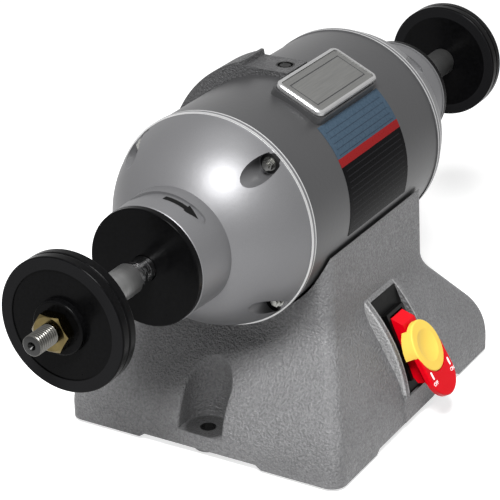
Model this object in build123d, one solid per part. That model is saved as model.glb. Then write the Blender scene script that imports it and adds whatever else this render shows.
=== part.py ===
"""Double-ended polishing lathe: a domed induction motor on a flared cast pedestal.

The spindle runs along X, the operator stands on the -Y side and +Z is up. The origin is the centre of the
two bench-bolt holes, on the underside of the pedestal's pads. Millimetres throughout.
"""
from math import atan, cos, degrees, radians, sin, sqrt, tan
import os

from build123d import *

# ---------------------------------------------------------------- driving dimensions
SPINDLE_Z = 193.0            # spindle line above the underside of the pedestal
CUT = 1.0                    # how far a cutting form stands past the face it opens
FIT = 0.1                    # clearance of a seated piece

# pedestal casting
FOOT_X, FOOT_Y = 143.5, 127.0        # half size of the foot
WAIST_X, WAIST_Y = 87.0, 88.5        # half size where the flare meets the column
TOP_X, TOP_Y, TOP_Z = 86.5, 86.2, 164.5
KNEE_LOW_X, KNEE_HIGH_X = 34.6, 95.7         # heights of the flare's two bends, seen from the front
KNEE_LOW_Y, KNEE_HIGH_Y = 33.0, 97.0         # and seen from the end
BEND_FOOT_X, BEND_WAIST_X = 62.0, 33.0       # radii of those bends
BEND_FOOT_Y, BEND_WAIST_Y = 75.0, 42.0
CORNER_R = 13.0              # rounding of the four upright corners
WALL = 7.0
CAVITY_TOP = 150.0
SADDLE_GAP = 2.0             # clear space between the casting's rim and the barrel
SADDLE_WALL = 7.0
WIRE_HOLE_R = 12.0
RELIEF, RELIEF_RAMP = 3.6, 5.0       # the bottom edge is lifted between the corner pads
RELIEF_HALF_END, RELIEF_HALF_FRONT = 57.0, 78.0

# bench bolts and their pockets, one at each end
BOLT_X = 128.5
BOLT_HOLE_R = 6.5
POCKET_R = 20.0
POCKET_FLOOR = 17.0
POCKET_WALL = 6.0
POCKET_ROUND = 2.5
BOLT_PAD_R = 12.0

# rubber feet
FEET_X, FEET_Y = 127.0, 107.0
FEET_R, FEET_DROP, FEET_SEAT, FEET_TAPER = 11.5, 3.0, 3.0, 1.0
FEET_BOSS_R, FEET_BOSS_TOP = 15.5, 22.0
FEET_SCREW_R, FEET_SCREW_LENGTH = 2.0, 14.0
FEET_HEAD_R, FEET_HEAD_Z = 4.2, 1.2

# bottom cover
COVER_PLATE_T, COVER_PLATE_Z = 1.5, 5.0
COVER_PLATE_GAP = 1.5
POST_X, POST_Y, POST_R = 112.0, 62.0, 6.0
SMALL_SCREW_R, SMALL_HEAD_R, SMALL_HEAD_T, SMALL_SCREW_LENGTH = 2.0, 3.8, 2.2, 12.0
VENT_COUNT, VENT_STEP, VENT_REACH_Y, VENT_BACK_Y = 5, 12.0, 45.0, 15.0

# motor housing
BARREL_R, BARREL_WALL, BARREL_HALF = 87.5, 4.0, 108.0
LIP_R, LIP_X = 88.4, 113.0
DOME_START, DOME_MIDDLE, DOME_END = (113.0, 87.2), (140.0, 76.0), (168.0, 48.8)
BOSS_LIP_X, BOSS_X, BOSS_R, BOSS_LIP = 204.5, 207.0, 47.2, 0.5
BELL_WALL, DOME_INSIDE_R, DOME_INSIDE_MID_R = 5.0, 81.9, 71.5
SPIGOT_R, SPIGOT_INNER_R, SPIGOT_X = 83.45, 75.0, 102.0
BOSS_HOLLOW_R, BOSS_FRONT_X = 42.6, 198.0
HUB_R, HUB_X, HUB_SHOULDER_R = 30.0, 178.0, 20.5

# motor through bolts
THROUGH_ANGLE = 42.0         # from the top towards the front
THROUGH_CIRCLE = 79.5
THROUGH_SEAT_X = 116.5
SCALLOP_R, SCALLOP_JACKET_R = 9.3, 12.8
THROUGH_R, THROUGH_HOLE_R = 2.5, 2.7
WASHER_R, WASHER_T = 5.5, 1.0
HEX_FLATS, HEX_T = 8.0, 4.0
THROUGH_PROUD = 2.0

# direction-arrow slots on the bosses
SLOT_X, SLOT_HALF_WIDTH, SLOT_ANGLE, SLOT_DEPTH = 184.4, 5.6, 41.0, 1.3

# bearing covers and bearings
CAP_X, CAP_R, CAP_SHAFT_R, CAP_ROUND = 212.5, 47.2, 10.4, 1.0
CAP_SPIGOT_R, CAP_SHAFT_LIP = 18.5, 1.5
BEARING_X, BEARING_W = 188.0, 14.0
BEARING_R, BEARING_BORE_R = 23.5, 10.0
RACE_OUTER_R, RACE_INNER_R = 19.6, 14.0
BALL_R, BALL_PITCH_R, BALL_COUNT = 3.9, 16.8, 8
RACE_GAP = 0.25
CAGE_X0, CAGE_X1, CAGE_FINGER_X = 189.4, 190.6, 197.5
CAGE_IN_R, CAGE_OUT_R, CAGE_FINGER_R = 14.9, 18.7, 1.8
WAVE_T = 1.2

# spindle
ROTOR_SEAT_R, ROTOR_SEAT_HALF = 12.0, 60.0
SHOULDER_R, NECK_R, STEP_R, ARBOR_R = 11.2, 10.0, 9.0, 7.9375
SLEEVE_START, SLEEVE_END, SLEEVE_R = 222.0, 303.4, 12.2
SHAFT_END, SHAFT_CHAMFER = 355.5, 1.2
CENTRE_HOLE_R, CENTRE_HOLE_DEPTH = 3.0, 5.0
RUNOUT_X, RUNOUT_W, RUNOUT_DEPTH = 335.0, 0.6, 0.4       # fine groove where the closed nut ends
FLANGE_R, FLANGE_T, FLANGE_GAP = 52.0, 8.3, 0.05
FLANGE_FACE_R, FLANGE_FACE_DEPTH = 42.0, 0.8
FLANGE_RELIEF_R, FLANGE_RELIEF_DEPTH = 38.0, 2.0
RIM_ROUND = 1.6
RUN_CLEARANCE = 0.05
NUT_FLATS, NUT_X0, NUT_X1, NUT_CHAMFER = 26.8, 325.0, 335.0, 1.5
NUT_FACE_STEP = 0.4
HUB_BOSS_R = 21.0            # raised centre of the outer flange, which the nut bears on

# motor insides
STATOR_R, STATOR_BORE_R, STATOR_HALF = 76.5, 44.5, 42.0
STATOR_SLOTS, STATOR_SLOT_HALF, STATOR_SLOT_R = 24, 2.6, 62.0
RIB_HALF_WIDTH = 11.0
WINDING_IN_R, WINDING_OUT_R, WINDING_END_X, WINDING_ROUND = 51.0, 71.0, 60.0, 6.0
ROTOR_R, ROTOR_HALF = 44.0, 41.0
END_RING_IN_R, END_RING_OUT_R, END_RING_X = 28.0, 42.5, 49.0
BLADE_COUNT, BLADE_END_X, BLADE_T = 9, 57.0, 3.0
GOVERNOR_X0, GOVERNOR_X1, GOVERNOR_R, GOVERNOR_HUB_R = 80.0, 92.0, 30.0, 17.0
SWITCH_RING_X0, SWITCH_RING_IN_R, SWITCH_RING_R = 100.2, 22.0, 76.4

CAPACITOR_Y, CAPACITOR_HALF_X, CAPACITOR_R, CAPACITOR_ROUND = 62.0, 42.0, 18.0, 2.0
CAP_STRAP_HALF_X, CAP_STRAP_T, CAP_STRAP_REACH = 8.0, 1.2, 32.0
WEIGHT_R0, WEIGHT_R1, WEIGHT_HALF = 22.0, 28.0, 9.0

# motor mounting bolts, radial, up through the saddle
MOUNT_X, MOUNT_ANGLE = 60.0, 25.0
MOUNT_R, MOUNT_HOLE_R, MOUNT_BOSS_R, MOUNT_TIP_R = 3.0, 3.3, 8.0, 79.0
MOUNT_FLATS, MOUNT_HEAD_T = 10.0, 4.0
PAD_HALF_X, PAD_HALF_Y = 10.0, 52.0

# badge on the top front of the barrel
BADGE_ANGLE = 25.2
BADGE_HALF_X, BADGE_HALF_Y, BADGE_CORNER = 48.7, 22.7, 6.0
BADGE_PAD_GROW = 1.6
BADGE_PAD_H, BADGE_TOP_H = 91.2, 96.0
BADGE_NECK_H, BADGE_NECK_INSET = 1.2, 1.0
BADGE_BEVEL = 1.0
BADGE_INSET, BADGE_DEPTH, BADGE_PLATE_T = 3.0, 1.6, 0.8

# rating label
LABEL_HALF_X, LABEL_FROM, LABEL_TO, LABEL_T = 50.5, 41.5, 103.5, 0.25

# rear strap
STRAP_HALF_X, STRAP_T = 16.0, 12.0
STRAP_FRONT_Y, STRAP_RIDGE_Y, STRAP_RIDGE_BACK_Y = -13.0, 26.0, 29.5
STRAP_PAD_Z, STRAP_RIDGE_Z = 285.0, 289.5
STRAP_FOOT_Y, STRAP_FOOT_Z = 88.2, 128.0
STRAP_HOLE_X, STRAP_HOLE_Y, STRAP_HOLE_R, STRAP_HOLE_DEPTH = 1.5, -1.0, 6.5, 2.4
STRAP_BOSS_TOP = 161.0
STRAP_SCREW_LOW, STRAP_SCREW_HIGH = 137.0, 153.0
STRAP_SCREW_R, STRAP_HEAD_R, STRAP_HEAD_T, STRAP_PAD_SCREW = 2.5, 4.6, 3.0, 10.0

# cord gland
GLAND_X, GLAND_Z = 60.0, 20.0
GLAND_IN_Y, GLAND_OUT_Y = 118.2, 125.2       # flat seats inside and outside the rear wall
GLAND_R, GLAND_BORE_R, GLAND_SEAT_R = 8.0, 4.0, 12.5
GLAND_FLATS, GLAND_HEX_T, GLAND_TIP, GLAND_NUT_T = 20.0, 5.0, 11.0, 4.0

# switch pod and plate
POD_HALF_X = 28.0
POD_TOP, POD_MIDDLE, POD_FOOT = (-88.3, 106.0), (-112.0, 75.5), (-128.4, 28.0)
POD_SKIRT_Y, POD_SKIRT_Z = -127.6, 4.0
POD_ROUND = 2.0
PLATE_TILT = 24.0
PLATE_Y, PLATE_Z = -108.6, 64.5
PLATE_HALF_X, PLATE_HALF_U, PLATE_T, PLATE_CORNER = 21.2, 42.0, 2.0, 1.0
RECESS_GAP = 0.4
PLATE_SCREW_U, PLATE_SCREW_SINK, PLATE_SCREW_HEAD_R, PLATE_SCREW_LENGTH = 38.5, 1.6, 3.6, 7.0

# switch: local u runs up along the plate, w points out of it
SWITCH_LOW, SWITCH_HIGH, SWITCH_HALF_X, SWITCH_DEPTH = -33.0, 25.0, 12.8, 30.0
SWITCH_FLANGE, SWITCH_FRONT_W, SWITCH_STEP_W = 1.8, 5.4, 0.5
SWITCH_POCKET_LOW, SWITCH_POCKET_HIGH = -32.0, 24.0
SWITCH_POCKET_HALF_X, SWITCH_POCKET_W = 11.0, -6.5
PIVOT_U, PIVOT_W, PIVOT_R, PIVOT_HOLE_R, PIVOT_HUB_R = -5.0, 3.0, 1.5, 1.6, 4.5
PADDLE_HALF_X, TONGUE_HALF_X, TONGUE_T, TONGUE_ROUND = 10.5, 20.2, 5.0, 1.2
TONGUE_TIP_V = -24.5         # centre of the tongue's round tip, along the key's own plane
SKIRT_LOW_V, SKIRT_HIGH_V, SKIRT_DEPTH = -27.0, -30.5, 12.5

# key: local v runs up along its face, which leans out at the bottom
KEY_U, KEY_W, KEY_TILT = -9.2, 23.0, 7.4
KEY_HALF_X, KEY_HALF_V, KEY_ROUND = 20.0, 22.5, 1.4
KEY_SHOULDER_V, KEY_BACK_W, KEY_SEAT_D = -2.8, 10.3, 4.0
KEY_GAP = 0.35
KEY_DISH_R, KEY_DISH_HALF = 44.0, 14.0
KEY_PRONG_X, KEY_PRONG_V, KEY_PRONG_DEPTH = 7.0, 3.0, 14.0
BLOCK_SIDE = [
    (22.2, 5.2), (14.5, 14.0), (-12.0, 15.4), (-38.0, 19.0), (-36.4, 7.4), (-31.5, 5.4), (-31.0, 3.5), (18.0, 3.5),
    (20.0, 5.2),
]
BLOCK_TOP_W = 15.0


# ---------------------------------------------------------------- shared helpers
def outline(points, radii):
    """Closed flat outline with a rounding at each corner."""
    return make_face(FilletPolyline(*points, radius=radii, close=True).edges())


def polygon(points):
    return make_face(Polyline(*points, close=True).edges())


def on_spindle(shape):
    """Lift a piece that was made about X onto the spindle line."""
    return Pos(0, 0, SPINDLE_Z) * shape


def turned(face):
    """Piece turned about the spindle line from a flat (x, radius) outline."""
    return on_spindle(revolve(face, axis=Axis.X))


def ring(x0, x1, r_in, r_out):
    """Plain ring about the spindle line."""
    return turned(polygon([(x0, r_in), (x1, r_in), (x1, r_out), (x0, r_out)]))


def disc(x0, x1, r):
    return on_spindle(Pos(x0, 0, 0) * extrude(Plane.YZ * Circle(r), amount=x1 - x0))


def other_end(shape):
    """The same piece for the other end of the lathe."""
    return mirror(shape, about=Plane.YZ)


def around_spindle(shape, angle):
    """Turn a piece made straight above the spindle by an angle from the top towards the front."""
    return shape.rotate(Axis((0, 0, SPINDLE_Z), (1, 0, 0)), angle)


def rod(x0, x1, r, radius_out, angle):
    """Rod parallel to the spindle."""
    return around_spindle(Pos(0, 0, radius_out) * disc(x0, x1, r), angle)


def hexagon(x0, x1, flats, radius_out=0.0, angle=0.0):
    """Hexagonal prism parallel to the spindle."""
    prism = extrude(Plane.YZ * RegularPolygon(flats / 2, 6, major_radius=False), amount=x1 - x0)
    return around_spindle(Pos(x0, 0, SPINDLE_Z + radius_out) * prism, angle)


def spoke(x, r0, r1, r, angle):
    """Round rod that points away from the spindle."""
    made = Pos(x, 0, SPINDLE_Z + r0) * extrude(Circle(r), amount=r1 - r0)
    return around_spindle(made, angle)


def upright(x, y, z0, z1, r):
    return Pos(x, y, z0) * extrude(Circle(r), amount=z1 - z0)


def slab(x0, x1, y0, y1, z0, z1):
    return Pos((x0 + x1) / 2, (y0 + y1) / 2, (z0 + z1) / 2) * Box(x1 - x0, y1 - y0, z1 - z0)


def corners(x, y):
    return [(sx * x, sy * y) for sx in (-1, 1) for sy in (-1, 1)]


def through_angles():
    return [THROUGH_ANGLE + 90 * k for k in range(4)]


def group(solids):
    return Compound(children=list(solids))


def joined(parts):
    whole = parts[0]
    for part in parts[1:]:
        whole = whole + part
    return whole


def sunk_screw(r, length, head_r, head_t):
    """Screw along +Z with its head's seat at z = 0."""
    return extrude(Circle(r), amount=length) + Pos(0, 0, -head_t) * extrude(Circle(head_r), amount=head_t)


# ---------------------------------------------------------------- pedestal
def flare_outline(foot, waist, top, knee_low, knee_high, bend_foot, bend_waist, inset):
    """The pedestal's outline from one side: foot, flare and column, drawn in by the inset."""
    lean = degrees(atan((foot - waist) / (knee_high - knee_low)))
    drop = inset * tan(radians(lean / 2))
    half = [
        (foot - inset, -1 if inset else 0),
        (foot - inset, knee_low - drop),
        (waist - inset, knee_high - drop),
        (top - inset, CAVITY_TOP if inset else TOP_Z),
    ]
    bends = [0, bend_foot - inset, bend_waist + inset, 0]
    return outline(half + [(-x, z) for x, z in reversed(half)], bends + bends[::-1])


def flare_body(inset):
    """The flared form, by crossing its front outline with its end outline."""
    front = flare_outline(FOOT_X, WAIST_X, TOP_X, KNEE_LOW_X, KNEE_HIGH_X, BEND_FOOT_X, BEND_WAIST_X, inset)
    side = flare_outline(FOOT_Y, WAIST_Y, TOP_Y, KNEE_LOW_Y, KNEE_HIGH_Y, BEND_FOOT_Y, BEND_WAIST_Y, inset)
    along_y = extrude(Plane.XZ * front, amount=FOOT_Y + WALL, both=True)
    along_x = extrude(Plane.YZ * side, amount=FOOT_X + WALL, both=True)
    body = along_y & along_x
    upright_edges = [e for e in body.edges() if e.bounding_box().size.Z > 0.5]
    return fillet(upright_edges, CORNER_R - inset)


def pocket_form(grow, floor):
    """Bolt pocket at the +X end: a round well that runs out through the end of the foot."""
    r = POCKET_R + grow
    well = upright(BOLT_X, 0, floor, TOP_Z, r)
    return well + slab(BOLT_X, FOOT_X + WALL, -r, r, floor, TOP_Z)


def relief_cut():
    """What the bottom edge is lifted by, at the ends and along the front and back."""
    def ramped(half):
        top = half - RELIEF_RAMP
        return polygon([(-half, -1), (-half, 0), (-top, RELIEF), (top, RELIEF), (half, 0), (half, -1)])
    ends = extrude(Plane.YZ * ramped(RELIEF_HALF_END), amount=FOOT_X + WALL, both=True)
    sides = extrude(Plane.XZ * ramped(RELIEF_HALF_FRONT), amount=FOOT_Y + WALL, both=True)
    return ends + sides


def switch_plane():
    tilt = radians(PLATE_TILT)
    return Plane(origin=(0, PLATE_Y, PLATE_Z), x_dir=(1, 0, 0), z_dir=(0, -cos(tilt), sin(tilt)))


def plate_slab(half_x, u0, u1, w0, w1):
    """Block in the switch's own frame."""
    block = Pos(0, (u0 + u1) / 2, (w0 + w1) / 2) * Box(2 * half_x, u1 - u0, w1 - w0)
    return switch_plane().location * block


def plate_profile(points, half_x, radii=None):
    """Side profile of (u, w) points, extruded to both sides of the switch's middle."""
    face = outline(points, radii) if radii else polygon(points)
    return switch_plane().location * extrude(Plane.YZ * face, amount=half_x, both=True)


def switch_pod():
    arc = ThreePointArc(POD_TOP, POD_MIDDLE, POD_FOOT)
    back_y = POD_TOP[0] + 2 * WALL
    skirt = (POD_SKIRT_Y, POD_SKIRT_Z)
    rest = Polyline(POD_FOOT, skirt, (back_y, POD_SKIRT_Z), (back_y, POD_TOP[1]), POD_TOP)
    pod = extrude(Plane.YZ * make_face((arc + rest).edges()), amount=POD_HALF_X, both=True)
    edges = [e for e in pod.edges() if abs(e.center().X) > POD_HALF_X - CUT]
    side_edges = [e for e in edges if e.center().Y < POD_TOP[0] - POD_HALF_X / 5]
    rounded = [e for e in side_edges if e.bounding_box().size.Z > 10]
    return fillet(rounded, POD_ROUND)


def saddle_pads():
    """Two cross ribs in the saddle that carry the barrel."""
    rib = ring(MOUNT_X - PAD_HALF_X, MOUNT_X + PAD_HALF_X, BARREL_R, BARREL_R + SADDLE_GAP + 2)
    rib = rib & slab(0, MOUNT_X * 2, -PAD_HALF_Y, PAD_HALF_Y, 0, SPINDLE_Z)
    return rib + other_end(rib)


def mount_spots():
    return [(sx * MOUNT_X, 180 + sa * MOUNT_ANGLE) for sx in (-1, 1) for sa in (-1, 1)]


def pedestal():
    outer = flare_body(0)
    pod = switch_pod()
    hollow = flare_body(WALL)
    jackets = pocket_form(POCKET_WALL, -1)
    keep = [jackets, other_end(jackets), disc(-TOP_X * 2, TOP_X * 2, BARREL_R + SADDLE_GAP + SADDLE_WALL)]
    keep += [upright(x, y, -CUT, FEET_BOSS_TOP, FEET_BOSS_R) for x, y in corners(FEET_X, FEET_Y)]
    keep += [upright(x, y, COVER_PLATE_Z + COVER_PLATE_T, TOP_Z, POST_R) for x, y in corners(POST_X, POST_Y)]
    for form in keep:
        hollow = hollow - form
    body = outer + pod - hollow
    body = body - relief_cut()
    pads = [upright(sx * BOLT_X, 0, 0, POCKET_FLOOR, BOLT_PAD_R) for sx in (-1, 1)]
    body = body + pads[0] + pads[1]
    wells = pocket_form(0, POCKET_FLOOR)
    body = body - wells - other_end(wells)
    body = body + slab(-STRAP_HALF_X, STRAP_HALF_X, TOP_Y - WALL, STRAP_FOOT_Y, STRAP_FOOT_Z, STRAP_BOSS_TOP)
    body = body - disc(-TOP_X * 2, TOP_X * 2, BARREL_R + SADDLE_GAP) + saddle_pads()
    body = fillet(pocket_rims(body), POCKET_ROUND)
    return body - pedestal_holes()


def pocket_rims(body):
    """Edges where the two bolt pockets break out through the flare and the end."""
    rims = []
    for edge in body.edges():
        box = edge.bounding_box()
        beside = box.max.Y < POCKET_R + 0.1 and box.min.Y > -POCKET_R - 0.1
        above = box.max.Z > POCKET_FLOOR + POCKET_WALL and edge.geom_type != GeomType.LINE
        if beside and above and abs(edge.center().X) > BOLT_X - POCKET_R:
            rims.append(edge)
    return rims


def pedestal_holes():
    holes = [upright(sx * BOLT_X, 0, -CUT, POCKET_FLOOR + CUT, BOLT_HOLE_R) for sx in (-1, 1)]
    for x, y in corners(FEET_X, FEET_Y):
        holes.append(upright(x, y, -CUT, FEET_SEAT, FEET_R + 0.1))
        holes.append(upright(x, y, -CUT, FEET_HEAD_Z + FEET_SCREW_LENGTH, FEET_SCREW_R))
    for x, y in corners(POST_X, POST_Y):
        holes.append(upright(x, y, 0, COVER_PLATE_Z + 14, SMALL_SCREW_R))
    holes.append(upright(0, 0, BARREL_R, SPINDLE_Z, WIRE_HOLE_R))
    for x, angle in mount_spots():
        holes.append(spoke(x, BARREL_R - CUT, BARREL_R + 12, MOUNT_HOLE_R, angle))
    holes.append(gland_cylinder(GLAND_R, GLAND_IN_Y - WALL, FOOT_Y + CUT))
    holes.append(gland_cylinder(GLAND_SEAT_R, GLAND_IN_Y - 2 * WALL, GLAND_IN_Y))
    holes.append(gland_cylinder(GLAND_SEAT_R, GLAND_OUT_Y, FOOT_Y + CUT))
    for z in (STRAP_SCREW_LOW, STRAP_SCREW_HIGH):
        drill = extrude(-Plane.XZ * Circle(STRAP_SCREW_R), amount=3 * WALL)
        holes.append(Pos(0, TOP_Y - 2 * WALL, z) * drill)
    u = PLATE_HALF_U + RECESS_GAP
    recess = plate_slab(PLATE_HALF_X + RECESS_GAP, -u, u, -PLATE_T, PLATE_HALF_X * 2)
    window = plate_slab(SWITCH_HALF_X + CUT, SWITCH_LOW - CUT, SWITCH_HIGH + CUT, -SWITCH_DEPTH - 25, 0)
    holes += [recess, window]
    for side in (-1, 1):
        drill = Pos(0, side * PLATE_SCREW_U, -PLATE_T - 6) * extrude(Circle(SMALL_SCREW_R), amount=10)
        holes.append(switch_plane().location * drill)
    return joined(holes)


def rubber_feet():
    edge = FEET_R - FEET_TAPER
    feet = []
    for x, y in corners(FEET_X, FEET_Y):
        block = upright(x, y, 0, FEET_SEAT, FEET_R)
        taper = Pos(x, y, -FEET_DROP) * loft([Circle(edge), Pos(0, 0, FEET_DROP) * Circle(FEET_R)])
        well = upright(x, y, -FEET_DROP - CUT, FEET_HEAD_Z, FEET_HEAD_R + 0.6)
        feet.append(block + taper - well - upright(x, y, 0, FEET_SEAT + CUT, FEET_SCREW_R + 0.1))
    return group(feet)


def foot_screws():
    screw = sunk_screw(FEET_SCREW_R, FEET_SCREW_LENGTH, FEET_HEAD_R, SMALL_HEAD_T)
    return group([Pos(x, y, FEET_HEAD_Z) * screw for x, y in corners(FEET_X, FEET_Y)])


def bottom_cover():
    x, y = FOOT_X - WALL - COVER_PLATE_GAP, FOOT_Y - WALL - COVER_PLATE_GAP
    z0, z1 = COVER_PLATE_Z, COVER_PLATE_Z + COVER_PLATE_T
    plate = slab(-x, x, -y, y, z0, z1)
    notch = pocket_form(POCKET_WALL + COVER_PLATE_GAP, 0)
    plate = plate - notch - other_end(notch)
    for fx, fy in corners(FEET_X, FEET_Y):
        plate = plate - upright(fx, fy, 0, z1 + CUT, FEET_BOSS_R + COVER_PLATE_GAP)
        plate = plate - slab(min(fx, fx * 2), max(fx, fx * 2), min(fy, fy * 2), max(fy, fy * 2), 0, z1 + CUT)
    for px, py in corners(POST_X, POST_Y):
        plate = plate - upright(px, py, 0, z1 + CUT, SMALL_SCREW_R + 0.3)
    vents = []
    for k in range(-VENT_COUNT, VENT_COUNT + 1):
        vents.append(slab(VENT_STEP * k - 2, VENT_STEP * k + 2, -VENT_REACH_Y, VENT_BACK_Y, 0, z1 + CUT))
    return plate - joined(vents)


def bottom_cover_screws():
    screw = sunk_screw(SMALL_SCREW_R, SMALL_SCREW_LENGTH, SMALL_HEAD_R, SMALL_HEAD_T)
    return group([Pos(x, y, COVER_PLATE_Z) * screw for x, y in corners(POST_X, POST_Y)])


def gland_cylinder(r, y0, y1):
    return Pos(GLAND_X, y0, GLAND_Z) * extrude(-Plane.XZ * Circle(r), amount=y1 - y0)


def gland_hexagon(y0, y1):
    return Pos(GLAND_X, y0, GLAND_Z) * extrude(
        -Plane.XZ * RegularPolygon(GLAND_FLATS / 2, 6, major_radius=False), amount=y1 - y0
    )


def cable_gland():
    """Cord gland with its lock nut inside the rear wall; its bore is left open."""
    inner_end = GLAND_IN_Y - GLAND_NUT_T
    body = gland_cylinder(GLAND_R - 0.1, inner_end - CUT, GLAND_OUT_Y + GLAND_TIP)
    body = body + gland_hexagon(GLAND_OUT_Y, GLAND_OUT_Y + GLAND_HEX_T) + gland_hexagon(inner_end, GLAND_IN_Y)
    return body - gland_cylinder(GLAND_BORE_R, inner_end - 2, GLAND_OUT_Y + GLAND_TIP + CUT)


# ---------------------------------------------------------------- motor housing
def bell_outline():
    """Outer (x, radius) edges of a bell from its lip to its boss."""
    dome = ThreePointArc(DOME_START, DOME_MIDDLE, DOME_END)
    rest = Polyline(
        DOME_END, (BOSS_LIP_X, BOSS_R), (BOSS_LIP_X, BOSS_R + BOSS_LIP),
        (BOSS_X - BOSS_LIP, BOSS_R + BOSS_LIP),
        (BOSS_X, BOSS_R),
    )
    return dome, rest


def dome_inside(r, wall):
    """Where the dome's inner surface has a given radius, from the circle of its outer one."""
    arc = ThreePointArc(DOME_START, DOME_MIDDLE, DOME_END)
    centre, radius = arc.arc_center, arc.radius - wall
    return centre.X + sqrt(radius ** 2 - (r - centre.Y) ** 2)


def bell_shell():
    dome, boss = bell_outline()
    start_r, middle_r, end_r = DOME_INSIDE_R, DOME_INSIDE_MID_R, BOSS_HOLLOW_R + CUT
    inside = [(dome_inside(r, BELL_WALL), r) for r in (end_r, middle_r, start_r)]
    inner_dome = ThreePointArc(*inside)
    lip = Polyline((BARREL_HALF, SPIGOT_R), (BARREL_HALF, LIP_R), (LIP_X, LIP_R), DOME_START)
    back = Polyline(
        (BOSS_X, BOSS_R), (BOSS_X, BEARING_R), (BEARING_X - FIT, BEARING_R),
        (BEARING_X - FIT, HUB_SHOULDER_R),
        (HUB_X, HUB_SHOULDER_R), (HUB_X, HUB_R), (BOSS_FRONT_X, HUB_R + CUT), (BOSS_FRONT_X, BOSS_HOLLOW_R),
        inside[0],
    )
    spigot = Polyline(
        inside[2], (BARREL_HALF, start_r), (BARREL_HALF, SPIGOT_INNER_R), (SPIGOT_X, SPIGOT_INNER_R),
        (SPIGOT_X, SPIGOT_R), (BARREL_HALF, SPIGOT_R),
    )
    return turned(make_face((lip + dome + boss + back + inner_dome + spigot).edges()))


def bell_solid():
    """The bell's outer form without its hollow, which the bolt jackets are clipped by."""
    dome, boss = bell_outline()
    lip = Polyline((BARREL_HALF, 0), (BARREL_HALF, LIP_R), (LIP_X, LIP_R), DOME_START)
    closing = Polyline((BOSS_X, BOSS_R), (BOSS_X, 0), (BARREL_HALF, 0))
    return turned(make_face((lip + dome + boss + closing).edges()))


def arrow_slot():
    """Shallow slot with round ends that runs over the top of the boss."""
    r_floor = BOSS_R + 0.55 - SLOT_DEPTH
    band = ring(SLOT_X - SLOT_HALF_WIDTH, SLOT_X + SLOT_HALF_WIDTH, r_floor, BOSS_R + 5)
    half_width_y = BOSS_R * sin(radians(SLOT_ANGLE))
    middle = slab(SLOT_X - 10, SLOT_X + 10, -half_width_y, half_width_y, SPINDLE_Z + 10, SPINDLE_Z + 80)
    tops = [spoke(SLOT_X, r_floor, BOSS_R + 5, SLOT_HALF_WIDTH, side * SLOT_ANGLE) for side in (-1, 1)]
    return (band & middle) + tops[0] + tops[1]


def end_bell():
    """Bell of the +X end, with scalloped pockets and inner jackets for the through bolts."""
    outer = bell_solid()
    body = bell_shell()
    for angle in through_angles():
        jacket = rod(BARREL_HALF, DOME_MIDDLE[0] + 16, SCALLOP_JACKET_R, THROUGH_CIRCLE, angle)
        body = body + (jacket & outer)
    for angle in through_angles():
        body = body - rod(THROUGH_SEAT_X, DOME_END[0], SCALLOP_R, THROUGH_CIRCLE, angle)
        body = body - rod(SPIGOT_X - CUT, THROUGH_SEAT_X + CUT, THROUGH_HOLE_R, THROUGH_CIRCLE, angle)
    return body - arrow_slot()


def end_cap(spigot_from):
    """Black cover over the bearing of the +X end."""
    face = outline(
        [(spigot_from, CAP_SPIGOT_R), (spigot_from, BEARING_R - FIT), (BOSS_X, BEARING_R - FIT), (BOSS_X, CAP_R),
         (CAP_X, CAP_R), (CAP_X, CAP_SHAFT_R), (BOSS_X + CAP_SHAFT_LIP, CAP_SHAFT_R),
         (BOSS_X + CAP_SHAFT_LIP, CAP_SPIGOT_R)],
        [0, 0, 0, 0, CAP_ROUND, 0.4, 0, 0],
    )
    return turned(face)


def badge_frame():
    tilt = radians(BADGE_ANGLE)
    return Plane(origin=(0, 0, SPINDLE_Z), x_dir=(1, 0, 0), z_dir=(0, -sin(tilt), cos(tilt))).location


def badge_block(grow, h0, h1, hx=BADGE_HALF_X, hy=BADGE_HALF_Y, corner=BADGE_CORNER):
    """Rounded rectangle in the badge's frame, h measured from the spindle line."""
    sketch = RectangleRounded(2 * (hx + grow), 2 * (hy + grow), corner + grow)
    return badge_frame() * (Pos(0, 0, h0) * extrude(sketch, amount=h1 - h0))


def motor_barrel():
    body = ring(-BARREL_HALF, BARREL_HALF, BARREL_R - BARREL_WALL, BARREL_R)
    pad = badge_block(BADGE_PAD_GROW, BARREL_R - BARREL_WALL - 8, BADGE_PAD_H)
    body = body + (pad - disc(-BARREL_HALF, BARREL_HALF, BARREL_R - BARREL_WALL))
    ribs = ring(-STATOR_HALF, STATOR_HALF, STATOR_R, BARREL_R - BARREL_WALL + CUT)
    for angle in through_angles():
        beam = Pos(0, 0, SPINDLE_Z + STATOR_R) * Box(2 * STATOR_HALF, 2 * RIB_HALF_WIDTH, 40)
        body = body + (ribs & around_spindle(beam, angle + 45))
    for x, angle in mount_spots():
        body = body + spoke(x, MOUNT_TIP_R - CUT, BARREL_R - BARREL_WALL + CUT, MOUNT_BOSS_R, angle)
        body = body - spoke(x, MOUNT_TIP_R - 2, BARREL_R + 2, MOUNT_R, angle)
    body = body - upright(STRAP_HOLE_X, STRAP_HOLE_Y, SPINDLE_Z + 60, SPINDLE_Z + BARREL_R + 2, STRAP_SCREW_R)
    return body - upright(0, 0, 0, SPINDLE_Z, WIRE_HOLE_R - 3)


def badge_bezel():
    step = BADGE_PAD_H + BADGE_NECK_H
    upper = badge_block(0, step, BADGE_TOP_H)
    tilt = radians(BADGE_ANGLE)
    top_face = upper.faces().sort_by(Axis((0, 0, 0), (0, -sin(tilt), cos(tilt))))[-1]
    upper = chamfer(top_face.edges(), BADGE_BEVEL)
    neck = badge_block(-BADGE_NECK_INSET, BADGE_PAD_H, step)
    return upper + neck - badge_block(-BADGE_INSET, BADGE_TOP_H - BADGE_DEPTH, BADGE_TOP_H + CUT)


def badge_plate():
    floor = BADGE_TOP_H - BADGE_DEPTH
    return badge_block(-BADGE_INSET - 0.2, floor, floor + BADGE_PLATE_T)


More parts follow.
